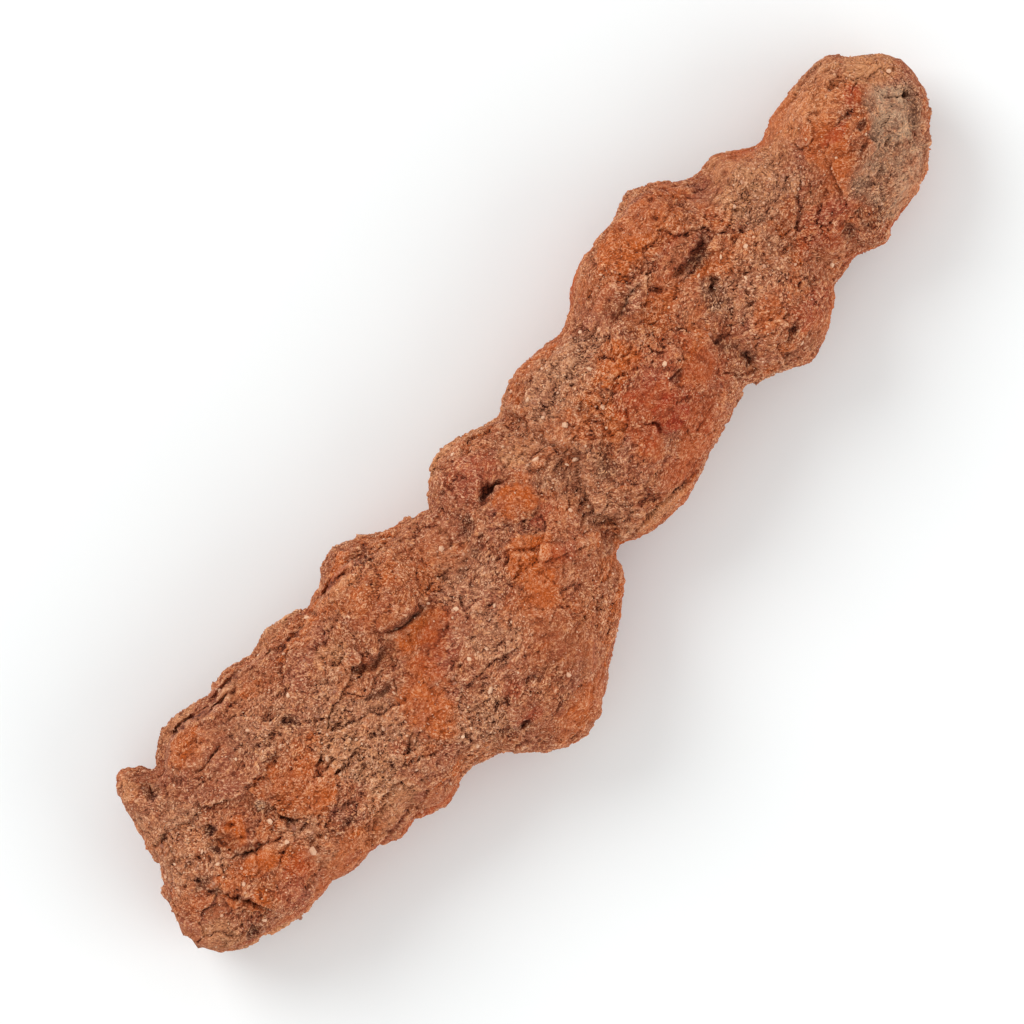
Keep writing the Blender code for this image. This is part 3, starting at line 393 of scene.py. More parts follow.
def clodHeights(points, size, share, seed):
    # rounded clods, one to a cube in a share of the cubes: each is a half ball, and the highest one counts
    smallest, spread = grainy["clodRadius"]
    scaled = points / size
    corner = np.floor(scaled)
    height = np.zeros(len(points))
    for step in nearCells:
        rows = tableRows(corner + step, seed)
        away = awayFromCellPoint(scaled, corner, step, rows)
        number = noiseTable[3].take(rows)
        radius = smallest + spread * (number * 7.0 % 1.0)
        dome = radius * np.sqrt(np.clip(1.0 - away / radius ** 2, 0.0, 1.0)) * (number < share)
        height = np.maximum(height, dome)
    return height / (smallest + spread)


def blockRadius(angle, fullness):
    # how far out a superellipse of half size 1 lies: a fullness of 2 gives a circle, more a rounded block
    return (np.abs(np.cos(angle)) ** fullness + np.abs(np.sin(angle)) ** fullness) ** (-1.0 / fullness)


def sectionTable():
    # how far it is round a middling section, in millimetres, for angles from -90 to 450 degrees
    halfWidth, halfHeight, fullness = form["middlingSection"]
    angles = np.radians(np.linspace(-90.0, 450.0, 6001))
    spread = blockRadius(angles, fullness)
    across, up = halfWidth * spread * np.cos(angles), halfHeight * spread * np.sin(angles)
    runs = np.hypot(np.diff(across), np.diff(up))
    travelled = np.concatenate([[0.0], np.cumsum(runs)])
    return angles, travelled - np.interp(0.0, angles, travelled)


sectionAngles, sectionTravel = sectionTable()


def loftPoint(x, angle):
    # a section of the fossil at x: a superellipse between the two edges, from the belly up to the crest
    far, near, crest, belly = [formLine(name, x) for name in ("farEdge", "nearEdge", "crest", "belly")]
    waist = belly + form["waistShare"] * (crest - belly)
    over = np.sin(angle) > 0.0
    spread = blockRadius(angle, np.where(over, formLine("crestFullness", x), form["bellyFullness"]))
    y = (far + near) / 2.0 + (far - near) / 2.0 * spread * np.cos(angle)
    z = waist + np.where(over, crest - waist, waist - belly) * spread * np.sin(angle)
    return np.stack([x, y, z], axis=-1), waist


def alongToX(along):
    # ring positions along the fossil, evenly spaced in along, become x, closer together near both ends
    half = form["length"] / 2.0
    even = along / half
    return half * ((1.0 - form["endCrowding"]) * even + form["endCrowding"] * np.sin(math.pi / 2.0 * even))


def xToAlong(x):
    # the way back, read from a table
    half = form["length"] / 2.0
    table = np.linspace(-half, half, 2001)
    return np.interp(x, alongToX(table), table)


def bodyGrid():
    # rings over the whole length, with fewer points on the covered upper side
    rings, around = skins["body"]["rings"], skins["body"]["pointsAround"]
    half = form["length"] / 2.0
    along = np.linspace(-half, half, rings + 2)[1:-1]
    once = (sectionAngles >= 0.0) & (sectionAngles <= 2.0 * math.pi)
    travel, angles = sectionTravel[once], sectionAngles[once]
    weight = np.where((angles[1:] < math.pi), skins["body"]["upperDensity"], 1.0)
    counted = np.concatenate([[0.0], np.cumsum(np.diff(travel) * weight)])
    return along, np.interp(np.arange(around) / around * counted[-1], counted, travel)


def crustGrid(first, last):
    # even points over one stretch of the upper side
    reach = np.interp(np.radians(skins["crustAngles"]), sectionAngles, sectionTravel)
    start, end = xToAlong((first, last))
    spacing = math.sqrt((end - start) * (reach[1] - reach[0]) / skins["crustPoints"])
    return np.arange(start, end, spacing), np.arange(reach[0], reach[1], spacing)


def skinFaces(rings, around, whole):
    # quads between rings; a whole body is closed round and gets a fan at each end, while a crust is
    # closed below by a spine of points deep inside it
    index = np.arange(rings * around).reshape(rings, around)
    extra = rings * around
    if whole:
        turned = np.roll(index, -1, axis=1)
        quads = np.stack([index[:-1], turned[:-1], turned[1:], index[1:]], axis=-1).reshape(-1, 4)
        first = np.stack([turned[0], index[0], np.full(around, extra)], axis=-1)
        last = np.stack([index[-1], turned[-1], np.full(around, extra + 1)], axis=-1)
        return quads, np.vstack([first, last])
    spine = extra + np.arange(rings)
    corners = [index[:-1, :-1], index[:-1, 1:], index[1:, 1:], index[1:, :-1]]
    quads = [np.stack(corners, axis=-1).reshape(-1, 4)]
    quads.append(np.stack([spine[:-1], index[:-1, 0], index[1:, 0], spine[1:]], axis=-1))
    quads.append(np.stack([index[:-1, -1], spine[:-1], spine[1:], index[1:, -1]], axis=-1))
    first = np.stack([index[0, 1:], index[0, :-1], np.full(around - 1, spine[0])], axis=-1)
    last = np.stack([index[-1, :-1], index[-1, 1:], np.full(around - 1, spine[-1])], axis=-1)
    return np.vstack(quads), np.vstack([first, last])


def gridNormals(points, rings, around, whole):
    # across the grid's two directions at each point
    grid = points.reshape(rings, around, 3)
    along = np.gradient(grid, axis=0)
    if whole:
        across = np.roll(grid, -1, axis=1) - np.roll(grid, 1, axis=1)
    else:
        across = np.gradient(grid, axis=1)
    normals = np.cross(across, along).reshape(-1, 3)
    return normals / np.maximum(np.linalg.norm(normals, axis=1), 1e-12)[:, None]


def levelShare(normals, name):
    # how much of a kind of relief or colour there is, by how far the surface looks up
    return smoothStep(normals[:, 2], *relief["lookingUp"][name])


def ellipsePlace(x, y, centreX, centreY, halfLength, halfWidth, turn):
    # how far along and across a turned ellipse each point lies, as shares of its half length and half width
    cosine, sine = math.cos(math.radians(turn)), math.sin(math.radians(turn))
    run = ((x - centreX) * cosine + (y - centreY) * sine) / halfLength
    rise = ((y - centreY) * cosine - (x - centreX) * sine) / halfWidth
    return run, rise


def domes(lumps, x, y):
    # sum of domes, full in the middle and nothing at the rim
    total = np.zeros_like(x)
    for *ellipse, height in lumps:
        run, rise = ellipsePlace(x, y, *ellipse)
        total += height * np.clip(1.0 - run * run - rise * rise, 0.0, 1.0) ** relief["domePower"]
    return total


def lineDistance(points, x, y):
    # distance to a line of straight runs, which side of it (left is +1) and how far away its nearer end is;
    # beside a knot the side is judged from the heading halfway between its two runs
    knots = np.array(points)
    runs = np.diff(knots, axis=0)
    lengths = np.hypot(runs[:, 0], runs[:, 1])
    headings = runs / lengths[:, None]
    turns = np.vstack([headings[:1], headings[:-1] + headings[1:], headings[-1:]])
    passed = np.concatenate([[0.0], np.cumsum(lengths)])
    nearest = np.full_like(x, np.inf)
    side = np.zeros_like(x)
    travelled = np.zeros_like(x)
    for n in range(len(runs)):
        acrossX, acrossY = x - knots[n, 0], y - knots[n, 1]
        share = np.clip((acrossX * headings[n, 0] + acrossY * headings[n, 1]) / lengths[n], 0.0, 1.0)
        gapX, gapY = acrossX - share * runs[n, 0], acrossY - share * runs[n, 1]
        gap = np.hypot(gapX, gapY)
        headingX, headingY = [
            np.where(share <= 0.0, turns[n, axis],
                     np.where(share >= 1.0, turns[n + 1, axis], headings[n, axis]))
            for axis in (0, 1)]
        closer = gap < nearest
        nearest = np.where(closer, gap, nearest)
        side = np.where(closer, np.sign(headingX * gapY - headingY * gapX), side)
        travelled = np.where(closer, passed[n] + share * lengths[n], travelled)
    return nearest, side, np.minimum(travelled, passed[-1] - travelled)


def grooveDepth(gap, halfWidth, depth, wall):
    # full depth near a crack's line, then up a rounded wall that starts and ends at shares of the half width
    return depth * (1.0 - smoothStep(gap, wall[0] * halfWidth, wall[1] * halfWidth))


def crackRelief(cracks, x, y, uneven):
    # cracks are rounded grooves that taper to their ends; the lift is a step that fades away from them.
    # Each crack is worked out only on the points inside its own box, widened by its reach
    shape = relief["crackShape"]
    depths = np.zeros_like(x)
    lifts = np.zeros_like(x)
    for halfWidth, depth, lift, reach, points in cracks:
        low = np.min(points, axis=0) - reach - shape["margin"]
        high = np.max(points, axis=0) + reach + shape["margin"]
        near = np.flatnonzero((x > low[0]) & (x < high[0]) & (y > low[1]) & (y < high[1]))
        gap, side, toEnd = lineDistance(points, x[near], y[near])
        taper = smoothStep(toEnd, *shape["taper"])
        wide = halfWidth * (0.5 + 0.5 * taper) * (1.0 + shape["uneven"] * uneven[near])
        depths[near] = np.maximum(depths[near], grooveDepth(gap, wide, depth * taper, shape["wall"]))
        if lift:
            fade = 1.0 - smoothStep(gap, shape["liftFade"], reach)
            lifts[near] += lift * taper * (smoothStep(side * gap, *shape["liftStep"]) * fade)
    return lifts, depths


def pitDepths(pits, x, y):
    # each pit is a soft bowl, a little wider than its radius
    total = np.zeros_like(x)
    for centreX, centreY, radius, depth in pits:
        away = np.hypot(x - centreX, y - centreY) / radius
        bowl = relief["pitFill"] * depth * (1.0 - smoothStep(away, 0.0, relief["pitSpread"]))
        total = np.maximum(total, bowl)
    return total


def scatteredRelief(x, y, ringX, around):
    # small bowls and short bent cracks, scattered over the upper side, the cracks mostly along the fossil;
    # each is worked out only on the rings it can reach
    random = np.random.default_rng(grainy["seed"])
    halfLength, halfWidth = grainy["scatterOver"]
    total = np.zeros_like(x)

    def reach(low, high):
        first, last = np.searchsorted(ringX, (low - grainy["scatterReach"], high + grainy["scatterReach"]))
        return slice(first * around, last * around)

    def anywhere():
        return random.uniform(-halfLength, halfLength), random.uniform(-halfWidth, halfWidth)

    for _ in range(grainy["pits"]):
        centreX, centreY = anywhere()
        radius, depth, long, turn = [random.uniform(*grainy[name]) for name in (
            "pitRadius", "pitDepth", "pitLength", "pitTurn")]
        near = reach(centreX, centreX)
        acrossX, acrossY = x[near] - centreX, y[near] - centreY
        run = (acrossX * math.cos(turn) + acrossY * math.sin(turn)) / long
        rise = acrossY * math.cos(turn) - acrossX * math.sin(turn)
        deepest = depth * min(1.0, radius / grainy["fullPit"])
        bowl = deepest * (1.0 - smoothStep(np.hypot(run, rise) / radius, *grainy["pitWall"]))
        total[near] = np.maximum(total[near], bowl)
    for _ in range(grainy["cracks"]):
        pointX, pointY = anywhere()
        heading = random.normal(0.0, grainy["crackHeading"])
        line = [(pointX, pointY)]
        for _ in range(3):
            stride = random.uniform(*grainy["crackLength"]) / 3.0
            heading += random.normal(0.0, grainy["crackBend"])
            pointX, pointY = pointX + stride * math.cos(heading), pointY + stride * math.sin(heading)
            line.append((pointX, pointY))
        near = reach(min(p[0] for p in line), max(p[0] for p in line))
        gap, _, toEnd = lineDistance(line, x[near], y[near])
        crackHalf, depth = random.uniform(*grainy["crackHalfWidth"]), random.uniform(*grainy["crackDepth"])
        taper = smoothStep(toEnd, *grainy["crackTaper"])
        total[near] = np.maximum(total[near], grooveDepth(gap, crackHalf, depth * taper, grainy["crackWall"]))
    return total


def dropRim(points, waist):
    # what lies past the rim line loses a share of its height over the waist
    x, y, z = points.T
    line = readLine(relief["rimLine"], x, form["edgeRounding"])
    line = np.minimum(line, formLine("farEdge", x) - relief["rimInset"])
    wander = waveSum(points, [relief["rimWander"]], 90)
    past = smoothStep(y + wander, line, line + relief["rimStep"])
    begun, ended = [smoothStep(x, end - relief["rimFade"], end) for end in relief["rimReach"]]
    points[:, 2] = z - np.clip(z - waist, 0.0, None) * relief["rimDropShare"] * past * begun * (1.0 - ended)


def cutFacet(points, upward, above):
    # the head is lowered to the worn plane on the near side of the face's border; gives how much it is cut,
    # and how far the face's own colour reaches, which is further down the side
    x, y, z = points.T
    pointX, pointY, pointZ = facet["point"]
    plane = pointZ - facet["fallNear"] * (pointY - y) - facet["fallHead"] * (x - pointX)
    border = readLine(facet["border"], x, facet["borderRounding"])
    border = border + facet["borderWander"] * layeredNoise(points, *noises["facetBorder"])
    inside = smoothStep(border - y, *facet["cutRim"]) * smoothStep(x, *facet["cutStart"]) * upward
    points[:, 2] = z - np.clip(z - plane, 0.0, None) * inside
    return inside, smoothStep(border - y, *facet["colourRim"]) * above


def brokenPlates(points, size, seed):
    # plates split apart along wandering lines and longer along X, each at its own height and tilt, with a
    # crevice along some of the lines; gives the relief for a height of 1, a random tint for each plate and
    # strokes: long narrow noise that runs its own way across each plate
    plate = grainy["plate"]
    wander = [layeredNoise(points, plate["wanderSize"] * size, seed + 20 * axis, 4, 0.6) for axis in range(3)]
    wander = plate["wander"] * size * np.stack(wander, axis=1)
    scaled = (points * (plate["shorter"], 1.0, 1.0) + wander) / size
    corner = np.floor(scaled)
    nearest, second = np.full((2, len(points)), np.inf)
    chosen, chosenStep = np.zeros((2, len(points)), dtype=np.int64)
    for index, step in enumerate(nearCells):
        rows = tableRows(corner + step, seed)
        away = awayFromCellPoint(scaled, corner, step, rows)
        closer = away < nearest
        second = np.where(closer, nearest, np.minimum(second, away))
        chosen = np.where(closer, rows, chosen)
        chosenStep = np.where(closer, index, chosenStep)
        nearest = np.where(closer, away, nearest)
    numbers = noiseTable[:3].take(chosen, axis=1).T
    offset = scaled - corner - nearCells[chosenStep] - numbers
    tilted = plate["tilt"] * (offset * (numbers[:, [1, 2, 0]] - 0.5)).sum(axis=1)
    stepped = plate["step"] * (numbers[:, 0] - 0.5)
    patchy = smoothStep(latticeNoise(points, plate["patchSize"] * size, seed + 9), *plate["patches"])
    crevice = (1.0 - smoothStep(np.sqrt(second) - np.sqrt(nearest), 0.0, plate["creviceWidth"])) * patchy
    turn = plate["turn"] * (numbers[:, 2] - 0.5)
    long, wide = offset[:, 0] / plate["shorter"], offset[:, 1] + offset[:, 2]
    run = long * np.cos(turn) + wide * np.sin(turn)
    rise = wide * np.cos(turn) - long * np.sin(turn)
    local = np.stack([run * size / plate["strokeStretch"], rise * size, 40.0 * numbers[:, 0]], axis=1)
    strokes = layeredNoise(local, plate["strokeWidth"], seed + 3, 3, 0.6)
    tint = (numbers[:, 1] * 3.7 + numbers[:, 2]) % 1.0
    return tilted + stepped - plate["creviceDepth"] * crevice, tint, strokes


def brokenBedding(points, spacing, height, seed):
    # a wandering height rises in steps: each bed thickens gently and ends in a sharp drop towards -Y
    bedding = grainy["bedding"]
    wander = bedding["wander"] * spacing * layeredNoise(points, bedding["wanderSize"] * spacing, seed, 5, 0.6)
    bed = (bedding["rise"] * points[:, 2] - bedding["lean"] * points[:, 1] + wander) / spacing
    share = bed - np.floor(bed)
    patchy = smoothStep(latticeNoise(points, bedding["patchSize"] * spacing, seed + 7), *bedding["patches"])
    return height * patchy * share * (1.0 - smoothStep(share, bedding["dropFrom"], 1.0))


def branchingCracks(points, size, depth, seed):
    # narrow valleys where a layered noise passes through 0, broken up by another noise
    line = np.abs(layeredNoise(points, size, seed, 4, 0.55))
    patchy = layeredNoise(points, grainy["creasePatchSize"] * size, seed + 7, 3)
    patchy = smoothStep(patchy, *grainy["creasePatches"])
    return depth * patchy * (1.0 - smoothStep(line, 0.0, grainy["creaseWidth"]))


def localMean(grid, spacing, reach, whole):
    # the grid's values averaged over a reach in millimetres, by many small blurs along and around
    for _ in range(max(1, round(2.0 * (reach / spacing) ** 2))):
        padded = np.pad(grid, ((0, 0), (1, 1)), mode="wrap" if whole else "edge")
        grid = (padded[:, :-2] + 2.0 * grid + padded[:, 2:]) / 4.0
        padded = np.pad(grid, ((1, 1), (0, 0)), mode="edge")
        grid = (padded[:-2] + 2.0 * grid + padded[2:]) / 4.0
    return grid


def fineRelief(rest, busy):
    # waves everywhere; clods, grains, grit, broken beds, plates and branching cracks as busy as the stone is
    rough = grainy["gritHeight"] * layeredNoise(rest, *noises["grit"])
    for n, (size, height, share) in enumerate(grainy["clods"] + grainy["grains"]):
        rough += height * (clodHeights(rest, size, share, 41 + 5 * n) - grainy["clodGround"])
    for spacing, height, seed in grainy["ledges"]:
        rough += brokenBedding(rest, spacing, height, seed)
    tint, strokes = np.zeros((2, len(rest)))
    for size, height, strokeHeight, tintShare, seed in grainy["plates"]:
        plates, plateTint, plateStrokes = brokenPlates(rest, size, seed)
        rough += height * plates + strokeHeight * plateStrokes
        tint += tintShare * plateTint
        strokes += strokeHeight * plateStrokes
    for size, depth, seed in grainy["creases"]:
        rough -= branchingCracks(rest, size, depth, seed)
    calm, lively = grainy["calmAndLively"]
    return waveSum(rest, grainy["waves"], 31) + rough * (calm + lively * busy), tint, strokes


def patchShares(points, normals, x, y):
    # how much of each colour there is: ellipses with wandering rims above, and blobs of noise elsewhere
    upward = levelShare(normals, "stains")
    ragged = patchRim["ragged"] * layeredNoise(points, *noises["stainRims"])
    uneven = patchRim["strength"] + patchRim["uneven"] * layeredNoise(points, *noises["stainStrength"])
    shares = {}
    for n, name in enumerate(patches):
        drawn = np.zeros_like(x)
        for *ellipse, strength in patches[name]:
            away = np.hypot(*ellipsePlace(x, y, *ellipse)) + ragged
            drawn = np.maximum(drawn, strength * (1.0 - smoothStep(away, *patchRim["fade"])))
        blobs = sum(height * latticeNoise(points, size, seed + n) for size, height, seed in patchRim["blobs"])
        blobs = smoothStep(blobs, *patchRim["blobFade"]) * patchRim["blobStrength"]
        blobs = blobs * (name not in patchRim["noBlobs"])
        shares[name] = np.clip(drawn * uneven, 0.0, 1.0) * upward + blobs * (1.0 - upward)
    return shares


def facetGrey(x, y, facetShare, uneven):
    # the worn face is grey, paler away from its near rim and bare of grey past a slanting line near the tip
    paler = facet["greyNear"] + facet["greyFar"] * smoothStep(y, *facet["greyAcross"])
    before = 1.0 - smoothStep(x - facet["greySlant"] * y, *facet["greyEnd"])
    return facetShare * (paler + facet["greyUneven"] * uneven) * smoothStep(x, *facet["greyStart"]) * before


def busyness(points, shares, cut):
    # how rough the stone is: more on sand and on the worn face, less on clay, and uneven everywhere
    busy = grainy["busy"]
    clay = np.clip(shares["ochre"] + shares["brick"], 0.0, 1.0)
    total = busy["plain"] + busy["uneven"] * layeredNoise(points, *noises["busy"])
    total = total + busy["sand"] * shares["sand"] - busy["clay"] * clay + busy["wornFace"] * cut
    return np.clip(total, busy["least"], busy["most"])


def sculptSkin(along, travel, whole):
    # the loft, then broad relief along its normals, then fine relief along the new normals
    rings, around = len(along), len(travel)
    spacing = abs(along[1] - along[0])

    def mean(values, reach):
        return localMean(values.reshape(rings, around), spacing, reach, whole).ravel()

    ringX = alongToX(along)
    ringAngles = np.interp(travel, sectionTravel, sectionAngles)
    x, angle = [grid.ravel() for grid in np.meshgrid(ringX, ringAngles, indexing="ij")]
    rest, waist = loftPoint(x, angle)
    loftNormals = gridNormals(rest, rings, around, whole)
    upward, downward = levelShare(loftNormals, "lumps"), levelShare(-loftNormals, "lumps")
    calmEnds = smoothStep(form["length"] / 2.0 - np.abs(rest[:, 0]), *form["calmEnds"])

    warpX, warpY = waveSum(rest, grainy["warp"], 11), waveSum(rest, grainy["warp"], 21)
    x, y = rest[:, 0] + warpX, rest[:, 1] + warpY
    uneven = layeredNoise(rest, *noises["cracks"])
    lifts, depths = crackRelief(relief["cracks"], x, y, uneven)
    calm = relief["rimCalm"]
    _, gaps = crackRelief(relief["rimCracks"], x - calm * warpX, y - calm * warpY, uneven)
    gaps = gaps * levelShare(loftNormals, "gaps")
    holes = np.maximum(depths, pitDepths(relief["pits"], x, y)) * levelShare(loftNormals, "holes")
    broad = (domes(relief["lumps"], x, y) + lifts) * upward - holes
    broad += domes(relief["underLumps"], x, y) * downward
    points = rest.copy()
    dropRim(points, waist)
    cut, facetShare = cutFacet(points, upward, levelShare(loftNormals, "facet"))
    points += loftNormals * (broad * calmEnds)[:, None]

    blurred = [mean(row, grainy["normalReach"]) for row in points.T]
    normals = gridNormals(np.stack(blurred, axis=1), rings, around, whole)
    shares = patchShares(rest, normals, x, y)
    shares["grey"] = facetGrey(x, y, facetShare, uneven)
    busy = busyness(rest, shares, cut)
    fine, tint, strokes = fineRelief(rest, busy)
    fine -= scatteredRelief(x, y, ringX, around) * upward * busy
    fine *= grainy["endShare"] + (1.0 - grainy["endShare"]) * calmEnds
    points += normals * fine[:, None]
    points[:, 2] -= gaps

    # painted shade: hollows are coloured darker and crests lighter as a painted highlight, judged against the
    # mean height over a wide and a narrow reach; the strokes' tone is added to the same attribute
    full = fine - stone["holeShare"] * np.maximum(holes, gaps)
    hollow = sum((mean(full, reach) - full) / depth for reach, depth in stone["hollowReach"])
    hollow = np.clip(hollow, -1.0, 1.0)
    shade = stone["paintedCrestHighlight"] * np.clip(-hollow, 0.0, 1.0) - stone["paintedHollowShade"] * np.clip(hollow, 0.0, 1.0)
    shares["shade"] = shade + stone["strokeContrast"] * strokes * busy
    shares["busy"] = busy
    shares["tint"] = tint
    return points, normals, loftNormals, shares


def linearColour(hexValue):
    # sRGB hex to linear light
    channels = [int(hexValue[index:index + 2], 16) / 255.0 for index in (1, 3, 5)]
    return (*[c / 12.92 if c <= 0.04045 else ((c + 0.055) / 1.055) ** 2.4 for c in channels], 1.0)


def addNode(tree, kind, settings, inputs):
    # one node with its settings, and its inputs by name or number: a value is set and a socket is linked
    node = tree.nodes.new("ShaderNode" + kind)
    for name, value in settings.items():
        setattr(node, name, value)
    for name, value in inputs.items():
        if isinstance(value, bpy.types.NodeSocket):
            tree.links.new(value, node.inputs[name])
        else:
            node.inputs[name].default_value = value
    return node


def newMaterial(finish):
    # a material with the name, roughness, IOR and specular level of its finish
    material = bpy.data.materials.new(finish["name"])
    material.use_nodes = True
    shader = material.node_tree.nodes["Principled BSDF"]
    shader.inputs["Roughness"].default_value = finish["roughness"]
    shader.inputs["IOR"].default_value = finish["ior"]
    shader.inputs["Specular IOR Level"].default_value = finish["specular"]
    return material, material.node_tree, shader


# Weathered red stone, iron-stained sand cemented in clay: dull, grainy, in many browns.
stone = {
    "name": "weathered_iron_stained_sandstone", "roughness": 0.92, "ior": 1.5, "specular": 0.25,
    "base": "#b05c38", "baseDark": "#904528", "baseLight": "#bc754d", "rosy": "#a1573e",
    # umber is a dark brown stain that also stands for painted shade in hollows and under ledges
    "ochre": "#be571b", "brick": "#a23212", "sand": "#b87a58", "grey": "#bb9577", "umberAndPaintedShade": "#633322",
    # peach is a paler stone colour that also stands for painted light on far-facing rims and the head's far
    # side
    "peachAndPaintedLight": "#cf8a5c",
    "pale": "#f2c09a", "orange": "#e39c68", "dark": "#3a1004",      # two kinds of sand grain and the dark gaps; the same colours also give the painted highlight on crests and the painted shade in hollows
    # noises: size in millimetres, detail, roughness and number
    "clouds": {
        "mottle": (6.0, 8.0, 0.70, 0.0), "blotch": (1.6, 5.0, 0.75, 0.0), "rosy": (2.6, 5.0, 0.65, 1.0),
        "ochre": (2.6, 5.0, 0.65, 2.0), "bump": (0.20, 2.0, 0.7, 0.0),
    },
    # sand grains and silt flakes: size, stretch, the two ways they lie in degrees, and contrast in tone
    "grains": [(0.34, 1.0, (0.0, 0.0), 0.15), (0.14, 1.5, (20.0, -50.0), 0.76)],
    "brightRarity": 1.5, "brightest": 1.2, "darkest": -0.8, "lightStrength": 0.75, "darkStrength": -0.90,
    # how dark the painted shade in a hollow and how light the painted highlight on a crest gets, and the
    # reach and depth that each is judged by
    "paintedHollowShade": 0.74, "paintedCrestHighlight": 0.46, "strokeContrast": 1.4, "hollowReach": [(0.9, 1.3), (0.25, 0.30)],
    "holeShare": 0.5,                       # drawn holes count for this share of their depth in the painted shade
    "wayChange": (0.49, 0.51),              # where in its noise the grains' way of lying changes
    "bumpHeight": 0.10, "grainGap": -0.6,
}


def stoneMaterial():
    # many browns: dark and light by broad and fine noise, rosy or ochre for a whole plate, then the drawn
    # stains, then every grain a little lighter or darker, with painted shade in hollows and a painted
    # highlight on crests
    material, tree, shader = newMaterial(stone)
    place = addNode(tree, "TexCoord", {}, {}).outputs["Object"]
    clouds = {}
    for name, (size, detail, sharpness, pattern) in stone["clouds"].items():
        clouds[name] = addNode(tree, "TexNoise", {"noise_dimensions": "4D"}, {
            "Scale": 1000.0 / size, "Detail": detail, "Roughness": sharpness, "W": pattern,
            "Vector": place}).outputs[0]
    # among the stains, umber is also painted shade and peach is also painted light on far-facing rims
    stains = ("sand", "peachAndPaintedLight", "ochre", "brick", "grey", "umberAndPaintedShade")
    shares = {}
    for name in stains + ("tint", "shade", "busy"):
        shares[name] = addNode(tree, "Attribute", {"attribute_name": name}, {}).outputs["Fac"]
    # three of the noises break layers up: the range of the noise and the least share it leaves
    patchy = {}
    for name, low, high, least in (("blotch", 0.38, 0.58, 0.45), ("rosy", 0.42, 0.58, 0.3),
                                   ("ochre", 0.42, 0.58, 0.3)):
        patchy[name] = addNode(tree, "MapRange", {}, {
            "Value": clouds[name], "From Min": low, "From Max": high, "To Min": least,
            "To Max": 1.3}).outputs[0]

    # each layer: its share, the range of the share that fades it in, its strength, the noise that
    # breaks it up, and its colour
    colour = linearColour(stone["baseDark"])
    layers = [
        (clouds["mottle"], 0.36, 0.60, 1.0, None, "base"),
        (clouds["blotch"], 0.46, 0.68, 0.8, None, "baseLight"),
        (shares["tint"], 0.44, 0.28, 0.7, "rosy", "rosy"),
        (shares["tint"], 0.56, 0.74, 0.7, "ochre", "ochre")]
    layers += [(shares[name], 0.0, 1.0, 1.0, "blotch", name) for name in stains]
    for value, low, high, strength, broken, name in layers:
        share = addNode(tree, "MapRange", {}, {
            "Value": value, "From Min": low, "From Max": high, "To Max": strength}).outputs[0]
        if broken:
            share = addNode(tree, "Math", {"operation": "MULTIPLY"}, {0: share, 1: patchy[broken]}).outputs[0]
        colour = addNode(tree, "Mix", {"data_type": "RGBA"}, {
            0: share, 6: colour, 7: linearColour(stone[name])}).outputs[2]

    # the tone of a grain: a random one for each cell of two sizes, weaker where the stone is smooth, and
    # bright ones rarer than dark ones; the cells lie one way or the other, as a noise decides
    # the tone starts from the painted shade of hollows and the painted highlight of crests, carried by the
    # shade attribute
    tone = shares["shade"]
    found = []
    before, after = stone["wayChange"]
    way = addNode(tree, "MapRange", {}, {
        "Value": clouds["rosy"], "From Min": before, "From Max": after}).outputs[0]
    for size, stretch, turns, contrast in stone["grains"]:
        ways = [addNode(tree, "Mapping", {"vector_type": "TEXTURE"}, {
            "Vector": place, "Rotation": (0.0, 0.0, math.radians(turn)),
            "Scale": (stretch, 1.0, 1.0)}).outputs[0] for turn in turns]
        lying = addNode(tree, "Mix", {"data_type": "VECTOR"}, {0: way, 4: ways[0], 5: ways[1]}).outputs[1]
        cells = addNode(tree, "TexVoronoi", {}, {"Scale": 1000.0 / size, "Vector": lying})
        numbers = addNode(tree, "SeparateColor", {}, {"Color": cells.outputs["Color"]})
        rarer = addNode(tree, "Math", {"operation": "POWER"}, {
            0: numbers.outputs["Red"], 1: stone["brightRarity"]}).outputs[0]
        single = addNode(tree, "MapRange", {}, {
            "Value": rarer, "To Min": stone["darkest"] * contrast,
            "To Max": stone["brightest"] * contrast}).outputs[0]
        tone = addNode(tree, "Math", {"operation": "MULTIPLY_ADD"}, {
            0: single, 1: shares["busy"], 2: tone}).outputs[0]
        found.append((cells.outputs["Distance"], numbers.outputs["Green"]))
    gapHeight, warmth = found[0]
    # light grains and the painted crest highlight go pale or orange; dark grains and the painted hollow shade
    # go dark
    light = addNode(tree, "Mix", {"data_type": "RGBA"}, {
        0: warmth, 6: linearColour(stone["pale"]), 7: linearColour(stone["orange"])}).outputs[2]
    for grainColour, strength in ((light, stone["lightStrength"]),
                                  (linearColour(stone["dark"]), stone["darkStrength"])):
        share = addNode(tree, "Math", {"operation": "MULTIPLY", "use_clamp": True}, {
            0: tone, 1: strength}).outputs[0]
        colour = addNode(tree, "Mix", {"data_type": "RGBA"}, {0: share, 6: colour, 7: grainColour}).outputs[2]
    tree.links.new(colour, shader.inputs["Base Color"])

    # grains stand out a little from the gaps between them
    height = addNode(tree, "Math", {"operation": "MULTIPLY_ADD"}, {
        0: gapHeight, 1: stone["grainGap"], 2: clouds["bump"]}).outputs[0]
    height = addNode(tree, "Math", {"operation": "MULTIPLY"}, {0: height, 1: shares["busy"]}).outputs[0]
    bump = addNode(tree, "Bump", {}, {
        "Strength": 1.0, "Distance": stone["bumpHeight"] * metresPerMm, "Height": height}).outputs[0]
    tree.links.new(bump, shader.inputs["Normal"])
    return material


